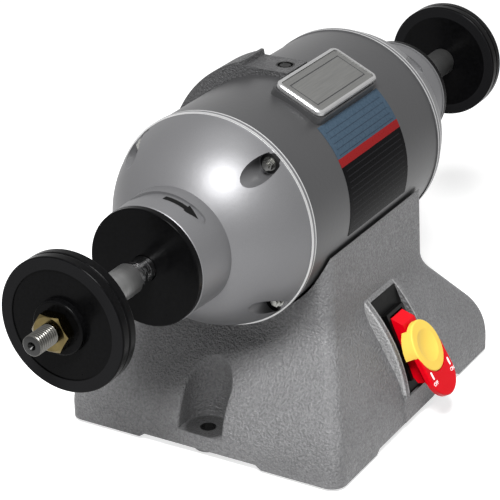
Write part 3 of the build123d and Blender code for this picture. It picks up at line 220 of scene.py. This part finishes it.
def casting(name, dark, light, depth, hole=None, pockets=False):
    """Painted sand casting: coarse grain, fine grit and slow unevenness. Hole is the x, y and radius of
    painted shade in and round a screw hole in its top, in metres. With pockets, both bench-bolt pockets get
    painted shade that deepens towards their floor and is black in their bolt holes, and the switch pod's
    edges get a painted highlight."""
    look, net = new_look(name)
    place = object_place(net)
    x, y, z = place.parts()
    grain = noise(net, place, 500, 3.0, roughness=0.6)
    grit = noise(net, place, 1500)
    slow = noise(net, place, 16, 3.0)
    pits = ((grain - 0.34) * 3.0).clamped()
    tone = (pits * 0.35 + slow * 0.35 + grit * 0.3).blend(dark, light)
    if hole:
        # Painted shade: black in and round the screw hole, wider than the hole itself.
        hole_shade_mask = distance(net, x - hole[0], y - hole[1]).below(hole[2]) * z.above(HOLE_ABOVE_Z)
        tone = hole_shade_mask.blend(tone, rgb(6, 6, 6))
    if pockets:
        # Painted shade: each bench-bolt pocket darkens towards its floor, and its bolt hole is painted black.
        from_bolt = distance(net, x.size() - POCKET_X, y)
        inside = ((POCKET_R - from_bolt) * POCKET_SHADE_EDGE).clamped() * z.above(POCKET_FLOOR)
        pocket_shade = inside * ((POCKET_TOP - z) / POCKET_FADE).clamped()
        tone = (pocket_shade * POCKET_SHADE_SHARE).blend(tone, rgb(20, 20, 20))
        tone = from_bolt.below(BOLT_HOLE_R).blend(tone, rgb(3, 3, 3))
        # Painted highlight: a bright line along each of the switch pod's two front edges.
        outer, inner = [(x.size() - edge).size().below(RIM_GLINT_HALF) for edge in POD_RIMS]
        lighter_band = net.math("MAXIMUM", outer, inner) * y.below(POD_FRONT_Y) * z.above(POD_Z0) * z.below(POD_Z1)
        tone = (lighter_band * RIM_GLINT_SHARE).blend(tone, rgb(176, 176, 176))
    roughness = 0.36 + (1 - pits) * 0.18 + grit * 0.1
    finish(net, tone, roughness, 0.32, height=pits * 0.8 + grit * 0.2, depth=depth, Specular_IOR_Level=0.3)
    return look


dress(casting("cast_grey_paint", rgb(70, 70, 71), rgb(124, 124, 125), 0.0008, pockets=True), "pedestal")


# ---------------------------------------------------------------- feet, their screws and the bottom cover
# Moulded rubber feet with a screw through each, and a pressed zinc-coated plate that closes the casting.
def steel(name, colour, roughness, scale, stretch=(1, 1, 1), depth=0.00002):
    """Turned or pressed steel: fine lines drawn out along the axes where stretch is small."""
    look, net = new_look(name)
    lines = noise(net, object_place(net), scale, stretch=stretch)
    darker = tuple(c * 0.72 for c in colour[:3]) + (1.0,)
    finish(net, lines.blend(darker, colour), roughness + (lines - 0.5) * 0.16, 1.0, height=lines, depth=depth)
    return look


def soft_black(name, colour, roughness, scale, depth):
    """Moulded rubber or plastic with a fine spark-eroded grain."""
    look, net = new_look(name)
    grain = noise(net, object_place(net), scale, 3.0)
    lighter = tuple(min(1.0, c * 1.9) for c in colour[:3]) + (1.0,)
    finish(net, grain.blend(colour, lighter), roughness + (grain - 0.5) * 0.2, height=grain, depth=depth,
           IOR=1.2)
    return look


dress(soft_black("rubber", rgb(20, 20, 20), 0.72, 900, 0.00008), "rubber_feet")
dress(steel("blackened_steel", rgb(96, 97, 100), 0.36, 700), "foot_screws", "bottom_cover_screws")

zinc_sheet, net = new_look("zinc_sheet")
spangle = net.node("ShaderNodeTexVoronoi", {"feature": "F1"}, out=0, Vector=object_place(net), Scale=170)
finish(net, spangle.blend(rgb(150, 154, 158), rgb(188, 191, 194)), 0.32 + spangle * 0.5, 1.0,
       height=spangle, depth=0.00003)
dress(zinc_sheet, "bottom_cover")


# ---------------------------------------------------------------- motor barrel and end bells
# A rolled barrel between two domed castings, all sprayed with one smooth silver-grey paint that has a fine
# metallic flake and a slight orange peel. The barrel's copy is painted darker as shade, each bell's lip has a
# painted highlight along its edges, and painted shade sits round the through bolts' seats.
AXIS_Z = 0.193                                           # height of the spindle's line
BOLT_SEAT_X, BOLT_SEAT_R = 0.1195, 0.0082                # the seats end here, and their radius
BOLT_SEAT_Y, BOLT_SEAT_Z = 0.0532, 0.05908               # a seat's distances from the spindle's line
# Painted highlight: a bright line along each edge of the bells' lips.
LIP_EDGES, LIP_GLINT_HALF, LIP_R, LIP_GLINT_SHARE = (0.1087, 0.1126), 0.0006, 0.0871, 0.8


def sprayed(name, dark, light, metallic, roughness, castings=False):
    """Sprayed metallic paint. On the castings it has painted shade round the through bolts' seats and a
    painted highlight along the lip's two edges."""
    look, net = new_look(name)
    place = object_place(net)
    flake = noise(net, place, 2600, 1.0)
    peel = noise(net, place, 260)
    cloud = noise(net, place, 9)
    tone = (flake * 0.55 + cloud * 0.45).blend(dark, light)
    if castings:
        x, y, z = place.parts()
        # Painted shade: dark round each through bolt's seat in the bell's pocket.
        from_bolt = distance(net, y.size() - BOLT_SEAT_Y, (z - AXIS_Z).size() - BOLT_SEAT_Z)
        seat_shade = from_bolt.below(BOLT_SEAT_R) * x.size().below(BOLT_SEAT_X)
        tone = seat_shade.blend(tone, rgb(26, 26, 26))
        # Painted highlight along the lip's two edges.
        outer, inner = [(x.size() - edge).size().below(LIP_GLINT_HALF) for edge in LIP_EDGES]
        lighter_band = net.math("MAXIMUM", outer, inner) * distance(net, y, z - AXIS_Z).above(LIP_R)
        tone = (lighter_band * LIP_GLINT_SHARE).blend(tone, rgb(196, 196, 196))
    finish(net, tone, roughness + (flake - 0.5) * 0.1 + (cloud - 0.5) * 0.06, metallic, height=peel,
           depth=0.00005, Specular_IOR_Level=0.25)
    return look


dress(sprayed("bell_paint", rgb(84, 84, 85), rgb(114, 114, 116), 0.62, 0.46, castings=True),
      "left_end_bell", "right_end_bell")
# The barrel's copy of the paint is darker: painted shade.
dress(sprayed("barrel_paint_shaded", rgb(50, 50, 51), rgb(70, 70, 71), 0.4, 0.38), "motor_barrel")


# ---------------------------------------------------------------- through bolts, nuts and washers
# Four long zinc-plated bolts clamp the bells to the barrel, with a hexagon nut in each left-hand pocket.
# Plated bolts hold the barrel on the pedestal too, and the strap's screws are black.
bolt_steel = steel("zinc_plated_steel", rgb(142, 142, 139), 0.28, 500)
dress(bolt_steel, "through_bolts", "through_bolt_nuts", "through_bolt_washers", "motor_mount_bolts")
black_oxide = steel("black_oxide", rgb(30, 30, 30), 0.5, 600)
dress(black_oxide, "rear_strap_screws")


# ---------------------------------------------------------------- bearing covers and wheel flanges
# Turned iron, painted gloss black. The clamping flanges keep a matt ring where the wheel is gripped,
# and the lathe tool's fine rings show through the paint.
TOOL_RINGS = 5200.0                                      # radians a metre, a ring every 1.2 mm
GRIP_RING = (0.0425, 0.0512)


def black_paint(name, ring=None):
    """Black paint over turned rings, matt and lighter between the two radii of ring, in metres."""
    look, net = new_look(name)
    place = object_place(net)
    x, y, z = place.parts()
    radius = distance(net, y, z - AXIS_Z)
    turned = net.math("SINE", radius * TOOL_RINGS) * 0.5 + 0.5
    dust = noise(net, place, 420, 3.0)
    colour = dust.blend(rgb(2, 2, 2), rgb(10, 10, 11))
    roughness = 0.16 + dust * 0.12
    if ring:
        lighter_band = radius.above(ring[0]) * radius.below(ring[1])
        colour = lighter_band.blend(colour, rgb(18, 18, 19))
        roughness = roughness + lighter_band * 0.2
    finish(net, colour, roughness, height=turned * 0.5 + dust * 0.5, depth=0.000006, IOR=1.14,
           Specular_IOR_Level=0.28)
    return look


dress(black_paint("cover_black"), "left_bearing_cover", "right_bearing_cover")
dress(black_paint("flange_black", ring=GRIP_RING),
      "left_inner_flange", "right_inner_flange", "left_outer_flange", "right_outer_flange")


# ---------------------------------------------------------------- rear strap
# A cast bar that hugs the barrel's back and screws to the pedestal. Same casting paint, a little darker.
# Painted shade in and round the strap's screw hole.
STRAP_HOLE_SHADE = (0.0015, -0.001, 0.0078)
dress(casting("strap_paint", rgb(34, 34, 35), rgb(84, 84, 85), 0.0007, hole=STRAP_HOLE_SHADE), "rear_strap")


# ---------------------------------------------------------------- badge
# A die-cast bezel with bright rounded edges around a satin plate that is left bare but for a border line.
BADGE_TILT = radians(25.2)
BORDER_X, BORDER_Y, BORDER_HALF = 0.0395, 0.0135, 0.0005           # the border line's place and half width
BRUSHED = (0.04, 1, 1)                                             # brush marks run along the barrel

look, net = new_look("satin_bezel")
brushed = noise(net, object_place(net), 900, stretch=BRUSHED)
finish(net, brushed.blend(rgb(138, 138, 138), rgb(168, 168, 168)), 0.28 + brushed * 0.1, 0.75,
       height=brushed, depth=0.000002)
dress(look, "badge_bezel")

look, net = new_look("badge_plate")
place = object_place(net)
brushed = noise(net, place, 900, stretch=BRUSHED)
x, y, z = place.parts()
down = y * -cos(BADGE_TILT) - (z - AXIS_Z) * sin(BADGE_TILT)       # down the badge's slope from its middle
border = net.math("MAXIMUM", x.size() - BORDER_X, down.size() - BORDER_Y)
line = border.size().below(BORDER_HALF)
satin = brushed.blend(rgb(82, 82, 81), rgb(108, 108, 106))
finish(net, line.blend(satin, rgb(40, 40, 42)), 0.3 + brushed * 0.12, 0.6,
       height=brushed * 0.4 + (1 - line) * 0.6, depth=0.00006)
dress(look, "badge_plate")


# ---------------------------------------------------------------- rating label
# A printed film glued round the front of the barrel: a blue-grey field, a dark red band and a black
# field, all without words. Thin ruled lines stand where such a label has its table.
BAND_TOP, BAND_END, TABLE_TOP = radians(61.0), radians(65.6), radians(45.0)
TABLE_HALF = 0.046                                       # half the lines' length along the barrel
BLUE_PITCH, BLUE_LINE, BLUE_SHARE = radians(3.3), 0.12, 0.75
BLACK_PITCH, BLACK_LINE, BLACK_SHARE = radians(3.1), 0.14, 0.3

look, net = new_look("label_film")
place = object_place(net)
x, y, z = place.parts()
angle = net.math("ARCTAN2", y * -1.0, z - AXIS_Z)
blue_field = angle.below(BAND_TOP)
black_field = angle.above(BAND_END)
inside = x.size().below(TABLE_HALF)
blue_rule = net.math("FRACT", angle / BLUE_PITCH).below(BLUE_LINE) * inside * blue_field
blue_rule = blue_rule * angle.above(TABLE_TOP)
black_rule = net.math("FRACT", angle / BLACK_PITCH).below(BLACK_LINE) * inside * black_field
print_grain = noise(net, place, 500)
blue = print_grain.blend(rgb(42, 56, 68), rgb(58, 72, 85))
fields = black_field.blend(blue_field.blend(rgb(112, 24, 25), blue), rgb(6, 6, 7))
ruled = (black_rule * BLACK_SHARE).blend(fields, rgb(52, 52, 55))
ruled = (blue_rule * BLUE_SHARE).blend(ruled, rgb(28, 34, 44))
finish(net, ruled, 0.24 + print_grain * 0.08, height=print_grain, depth=0.000006, IOR=1.12,
       Specular_IOR_Level=0.2)
dress(look, "rating_label")


# ---------------------------------------------------------------- direction arrows
# A plain black arrow is printed along the floor of the slot on top of each boss, pointing to the front.
ARROW_X, ARROW_R, ARROW_T = 0.1844, 0.04652, 0.00015
ARROW_TAIL, ARROW_NECK, ARROW_TIP = radians(2), radians(26), radians(41)
ARROW_SHAFT_HALF, ARROW_HEAD_HALF = 0.0024, 0.0051
SHAFT_ROWS, HEAD_ROWS = 25, 9


def place_mesh(name, mesh, look, body):
    """A piece at the origin from a finished mesh, on its body and material slot."""
    mesh.materials.clear()
    mesh.materials.append(look)
    piece = bpy.data.objects.new(name, mesh)
    bpy.context.scene.collection.objects.link(piece)
    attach(piece, body)
    return piece


def add_piece(name, points, faces, look, body):
    """The same from arrays of points and four-sided faces."""
    mesh = bpy.data.meshes.new(name)
    mesh.from_pydata(np.asarray(points).reshape(-1, 3).tolist(), [], faces.tolist())
    return place_mesh(name, mesh, look, body)


def tube_faces(rows, columns):
    """Four-sided faces of a grid of points, rows x columns, that closes round the columns."""
    i, j = np.meshgrid(np.arange(rows - 1), np.arange(columns), indexing="ij")
    k = (j + 1) % columns
    corners = (i * columns + j, i * columns + k, (i + 1) * columns + k, (i + 1) * columns + j)
    return np.stack(corners, -1).reshape(-1, 4)


def tidy_mesh(mesh, smooth=None):
    """Doubles are merged and the faces turned outwards, then edges under smooth radians are shaded round."""
    work = bmesh.new()
    work.from_mesh(mesh)
    bmesh.ops.remove_doubles(work, verts=work.verts, dist=1e-7)
    bmesh.ops.dissolve_degenerate(work, edges=work.edges, dist=1e-8)
    bmesh.ops.recalc_face_normals(work, faces=work.faces)
    for face in work.faces:
        face.smooth = smooth is not None
    for edge in work.edges:
        if smooth is not None and len(edge.link_faces) == 2:
            edge.smooth = edge.calc_face_angle(0.0) < smooth
    work.to_mesh(mesh)
    work.free()


def arrow_points(side):
    """Angle runs along the arrow; its half width is the shaft's, then the head's, which narrows to the tip.
    Each row has its two edges on the outer skin and the same two on the inner, so the loop closes."""
    angle = np.concatenate((np.linspace(ARROW_TAIL, ARROW_NECK, SHAFT_ROWS),
                            np.linspace(ARROW_NECK, ARROW_TIP, HEAD_ROWS)))[:, None]
    half = np.concatenate((np.full(SHAFT_ROWS, ARROW_SHAFT_HALF),
                           np.linspace(ARROW_HEAD_HALF, 0.0, HEAD_ROWS)))
    x = np.stack((-half, half, half, -half), 1) + side * ARROW_X
    radius = ARROW_R + ARROW_T * np.array([1.0, 1.0, 0.0, 0.0])
    return np.stack((x, -radius * np.sin(angle), AXIS_Z + radius * np.cos(angle)), -1)


arrow_ink, net = new_look("arrow_ink")
ink = noise(net, object_place(net), 1500)
finish(net, ink.blend(rgb(6, 6, 6), rgb(22, 22, 22)), 0.5 + ink * 0.2, IOR=1.1)
tail_cap = [(0, 1, 2, 3)]
arrow_faces = np.concatenate((tube_faces(SHAFT_ROWS + HEAD_ROWS, 4), tail_cap))
for side, word in ((-1, "left"), (1, "right")):
    arrow = add_piece(word + "_direction_arrow", arrow_points(side), arrow_faces, arrow_ink, "lathe")
    tidy_mesh(arrow.data)


# ---------------------------------------------------------------- spindle shaft
# One turned steel shaft, ground on its seats. Both arbor ends have an 11-per-inch thread, left-hand on
# the left end so that the nut there doesn't work loose, and a centre hole from the lathe.
PITCH, THREAD_DEPTH = 0.0254 / 11, 0.00118
THREAD_X0, THREAD_X1, RUN_IN, RUN_OUT, OVERRUN = 0.3065, 0.3545, 2 * PITCH, 0.0012, 0.0004
CORE_X, CORE_R, SEAT_R = 0.060, 0.012, 0.0112            # under the rotor, then the bearings' seats
NECK_X, NECK_R, NECK_CHAMFER = 0.188, 0.010, 0.0006
SLEEVE_X0, SLEEVE_X1, STEP_R = 0.2325, 0.3034, 0.009
ARBOR_R, SHAFT_END, END_CHAMFER = 0.0079375, 0.3555, 0.0012
CENTRE_HOLE = ((0.0, 0.0032), (0.0006, 0.0029), (0.0035, 0.0009), (0.0048, 0.0))      # depth and radius
HOLE_R, HOLE_EDGE, HOLE_DEPTH = 0.0036, 2000.0, 0.006    # painted shade inside the centre hole
ROOT_R, ROOT_EDGE = 0.0067, 1400.0                       # painted shade darkens the thread below this
FACE_DEPTH, ARBOR_X = 0.0004, 0.3                        # the end face, and where the dull arbor starts
ROUND_STEPS, ROWS_A_PITCH = 80, 12


def spun(profile, steps, cut=None):
    """The profile's x and radius are carried round the spindle's line. Cut, if given, is taken from the
    radius and depends on x and the angle. A radius of 0 closes an end."""
    angle = np.linspace(0, 2 * pi, steps, endpoint=False)
    x, radius = np.broadcast_arrays(profile[:, :1], profile[:, 1:] + 0 * angle)
    if cut is not None:
        radius = radius - cut(x, angle)
    return np.stack((x, -radius * np.sin(angle), AXIS_Z + radius * np.cos(angle)), -1)


def thread_cut(x, angle):
    """Depth of a V thread with rounded root and crest: a triangle wave of the distance from the middle over
    the pitch less the angle over a turn, so the two ends have opposite hands. It fades in and out."""
    out = np.abs(x)
    phase = (out / PITCH - angle / (2 * pi)) % 1.0
    wave = np.clip(1.25 * (1 - np.abs(2 * phase - 1)) - 0.1, 0, 1)
    fade_in = np.clip((out - THREAD_X0) / RUN_IN, 0, 1)
    fade_out = np.clip((THREAD_X1 + OVERRUN - out) / RUN_OUT, 0, 1)
    return THREAD_DEPTH * wave * fade_in * fade_out


rows = int((THREAD_X1 - THREAD_X0) / PITCH * ROWS_A_PITCH)
half_profile = [(0.0, CORE_R), (CORE_X, CORE_R), (CORE_X, SEAT_R), (NECK_X, SEAT_R), (NECK_X, NECK_R),
                (SLEEVE_X0 - NECK_CHAMFER, NECK_R), (SLEEVE_X0, NECK_R - NECK_CHAMFER), (SLEEVE_X0, STEP_R),
                (SLEEVE_X1, STEP_R), (SLEEVE_X1, ARBOR_R)]
half_profile += [(x, ARBOR_R) for x in np.linspace(THREAD_X0, THREAD_X1, rows)]
half_profile += [(SHAFT_END - END_CHAMFER * 0.55, ARBOR_R - 0.0001), (SHAFT_END, ARBOR_R - END_CHAMFER)]
half_profile += [(SHAFT_END - depth, radius) for depth, radius in CENTRE_HOLE]
half_profile = np.array(half_profile)
profile = np.concatenate((half_profile[::-1] * (-1, 1), half_profile[1:]))

look, net = new_look("ground_shaft")
place = object_place(net)
x, y, z = place.parts()
rings = noise(net, place, 2600, stretch=(1, 0.02, 0.02))
radius = distance(net, y, z - AXIS_Z)
arbor = x.size().above(ARBOR_X)
# Painted shade inside the centre hole.
centre_hole_shade = ((HOLE_R - radius) * HOLE_EDGE).clamped() * x.size().above(SHAFT_END - HOLE_DEPTH)
# Painted shade in the thread's roots.
crest = ((radius - ROOT_R) * ROOT_EDGE).clamped()
end_face = x.size().above(SHAFT_END - FACE_DEPTH)
ground = rings.blend(rgb(172, 172, 174), rgb(214, 214, 214))
tone = arbor.blend(ground, crest.blend(rgb(18, 18, 16), rgb(88, 87, 84)))
tone = end_face.blend(tone, rgb(54, 54, 54))
tone = centre_hole_shade.blend(tone, rgb(34, 34, 34))
finish(net, tone, 0.1 + rings * 0.08 + arbor * 0.14 + end_face * 0.2, 1.0,
       height=rings * (1 - arbor), depth=0.0002)
shaft = add_piece("turned_spindle_shaft", spun(profile, ROUND_STEPS, thread_cut),
                  tube_faces(len(profile), ROUND_STEPS), look, "spindle")
tidy_mesh(shaft.data, radians(38))
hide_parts("spindle_shaft")


# ---------------------------------------------------------------- spacer sleeves
# Ground steel tubes that slide over the shaft's steps and carry the inner flanges out from the motor.
# They keep the grinding wheel's fine rings, and a rounded edge at the motor's side.
SLEEVE_R, SLEEVE_ROUND, SLEEVE_BREAK, BORE_GAP = 0.0122, 0.0008, 0.0003, 0.00005
bore = STEP_R + BORE_GAP
sleeve_section = np.array([
    (SLEEVE_X0, bore), (SLEEVE_X1, bore), (SLEEVE_X1, SLEEVE_R - SLEEVE_BREAK),
    (SLEEVE_X1 - SLEEVE_BREAK, SLEEVE_R), (SLEEVE_X0 + SLEEVE_ROUND, SLEEVE_R),
    (SLEEVE_X0 + SLEEVE_ROUND * 0.3, SLEEVE_R - SLEEVE_ROUND * 0.3), (SLEEVE_X0, SLEEVE_R - SLEEVE_ROUND),
    (SLEEVE_X0, bore)])
look, net = new_look("ground_sleeve")
place = object_place(net)
rings = noise(net, place, 2600, 3.0, (1, 0.02, 0.02))
bands = noise(net, place, 90, stretch=(1, 0.02, 0.02))
finish(net, (rings * 0.5 + bands * 0.5).blend(rgb(92, 92, 93), rgb(152, 152, 151)), 0.26 + rings * 0.12,
       0.85, height=rings, depth=0.0002)
for side, word in ((-1, "left"), (1, "right")):
    sleeve = add_piece(word + "_ground_sleeve", spun(sleeve_section * (side, 1), ROUND_STEPS),
                       tube_faces(len(sleeve_section), ROUND_STEPS), look, "spindle")
    tidy_mesh(sleeve.data, radians(50))
    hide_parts(word + "_spacer_sleeve")


# ---------------------------------------------------------------- spindle nuts
# Hexagon nuts in yellow passivated zinc, which varies from straw to a faint pink and green.
look, net = new_look("yellow_zinc")
place = object_place(net)
drift = noise(net, place, 130)
fine = noise(net, place, 1400)
straw = drift.blend(rgb(50, 47, 28), rgb(98, 88, 52))
finish(net, (fine * 0.4).blend(straw, rgb(104, 86, 66)), 0.14 + fine * 0.1, 1.0, height=fine, depth=0.000002)
dress(look, "left_spindle_nut", "right_spindle_nut")


# ---------------------------------------------------------------- switch plate, body and pin
# A black plate with a moulded body snapped into it. The rocker swings on a steel pin.
dress(soft_black("switch_plate_black", rgb(2, 2, 2), 0.4, 700, 0.00003), "switch_plate")
dress(soft_black("switch_body_black", rgb(4, 4, 4), 0.34, 900, 0.00003), "switch_body")
dress(black_oxide, "switch_plate_screws")
dress(bolt_steel, "switch_pivot_pin")


# ---------------------------------------------------------------- paddle and key
# Injection-moulded rocker and pull-out key with a softly polished skin. ON and OFF are pad-printed in
# white on the rocker's tongue, each under a short bar.
TONGUE_TILT = radians(31.4)
TONGUE_ORIGIN = Vector((0, -0.13335, 0.06545))
WORDS = (("ON", 0.0157), ("OFF", -0.0148))               # each word's place across the tongue
PRINT_T, LETTER_H, LETTER_GROW, WORD_V = 0.0001, 0.0042, 0.00006, -0.0305
BAR_V, BAR_HALF_U, BAR_HALF_V, BAR_STEPS = -0.0222, 0.0011, 0.0034, 24


def moulded(name, colour, deeper, roughness):
    """Dyed plastic: the colour drifts slowly and the skin has a faint flow and grain."""
    look, net = new_look(name)
    place = object_place(net)
    flow = noise(net, place, 38)
    grain = noise(net, place, 1500)
    finish(net, (flow * 0.7 + grain * 0.3).blend(deeper, colour), roughness + (grain - 0.5) * 0.1,
           height=grain, depth=0.00001, IOR=1.18)
    return look


def rounded(v):
    """A coordinate of the unit circle, pushed out towards a square with round corners."""
    return np.sign(v) * np.abs(v) ** 0.45


def bar_points(centre):
    """Rings of a rounded bar on the tongue, across, up and out: its edge below, its edge on top, then its
    top closing to the middle."""
    around = np.linspace(0, 2 * pi, BAR_STEPS, endpoint=False)
    rings = np.array([(1.0, 0.0), (1.0, 1.0), (0.55, 1.0), (0.0, 1.0)])
    u = centre + BAR_HALF_U * rings[:, :1] * rounded(np.cos(around))
    v = BAR_V + BAR_HALF_V * rings[:, :1] * rounded(np.sin(around))
    return np.stack((u, v, PRINT_T * rings[:, 1:] + 0 * around), -1)


dress(moulded("red_plastic", rgb(196, 0, 22), rgb(172, 0, 10), 0.3), "switch_paddle")
dress(moulded("yellow_plastic", rgb(220, 188, 88), rgb(198, 166, 68), 0.36), "switch_key")

white_print, net = new_look("white_print")
speck = noise(net, object_place(net), 2200)
finish(net, speck.blend(rgb(224, 214, 214), rgb(250, 246, 246)), 0.4 + speck * 0.1)

tongue_up = Vector((0, sin(TONGUE_TILT), cos(TONGUE_TILT)))
tongue_out = Vector((0, -cos(TONGUE_TILT), sin(TONGUE_TILT)))
on_tongue = Matrix((Vector((1, 0, 0)), tongue_up, tongue_out)).transposed().to_4x4()
on_tongue.translation = TONGUE_ORIGIN
for word, centre in WORDS:
    letters = bpy.data.curves.new(word, "FONT")
    letters.body, letters.size, letters.align_x = word, LETTER_H, "CENTER"
    letters.extrude, letters.offset = PRINT_T / 2, LETTER_GROW
    held = bpy.data.objects.new(word, letters)
    bpy.context.scene.collection.objects.link(held)
    mesh = bpy.data.meshes.new_from_object(held.evaluated_get(bpy.context.evaluated_depsgraph_get()))
    bpy.data.objects.remove(held)
    mesh.transform(on_tongue @ Matrix.Translation((centre, WORD_V, PRINT_T / 2)))
    place_mesh("print_" + word.lower(), mesh, white_print, "paddle")
    bar = add_piece("print_bar_" + word.lower(), bar_points(centre), tube_faces(4, BAR_STEPS), white_print,
                    "paddle")
    bar.data.transform(on_tongue)
    tidy_mesh(bar.data)


# ---------------------------------------------------------------- motor insides
# Laminated stator and rotor, varnished copper windings, cast rotor rings, ball bearings and the
# centrifugal start switch. They show only when the lathe is taken apart.
SHEETS = 12566.0                                         # radians a metre, a 0.5 mm sheet each turn
WIRES, WIRE_SPREAD, WIRE_SLOPE = 5200.0, 0.004, 0.3

look, net = new_look("laminated_steel")
x, y, z = object_place(net).parts()
sheets = net.math("SINE", x * SHEETS) * 0.5 + 0.5
finish(net, sheets.blend(rgb(62, 66, 74), rgb(112, 118, 128)), 0.34 + sheets * 0.12, 0.9,
       height=sheets, depth=0.00008)
dress(look, "stator_core", "rotor_core")

look, net = new_look("copper_windings")
place = object_place(net)
x, y, z = place.parts()
spread = noise(net, place, 60)
wire_place = distance(net, y, z - AXIS_Z) + spread * WIRE_SPREAD + x * WIRE_SLOPE
wires = net.math("SINE", wire_place * WIRES) * 0.5 + 0.5
finish(net, wires.blend(rgb(110, 52, 26), rgb(204, 120, 66)), 0.3 + wires * 0.12, 0.85,
       height=wires, depth=0.0003)
dress(look, "stator_windings")

dress(steel("cast_aluminium", rgb(190, 190, 188), 0.42, 300, depth=0.00006), "rotor_end_rings")
dress(zinc_sheet, "start_switch_plate", "start_switch_governor", "capacitor_strap")
race_steel = steel("race_steel", rgb(206, 206, 208), 0.14, 900, (1, 0.1, 0.1), 0.000004)
dress(race_steel, "bearing_outer_rings", "bearing_inner_rings", "wave_washer", "left_bearing_balls",
      "right_bearing_balls", "left_ball_cage", "right_ball_cage")


# ---------------------------------------------------------------- capacitor and cord gland
# A moulded capacitor case in the base and a nylon gland in the rear wall, ready for the cord.
dress(soft_black("nylon_black", rgb(14, 14, 15), 0.45, 600, 0.00005), "capacitor", "cable_gland")
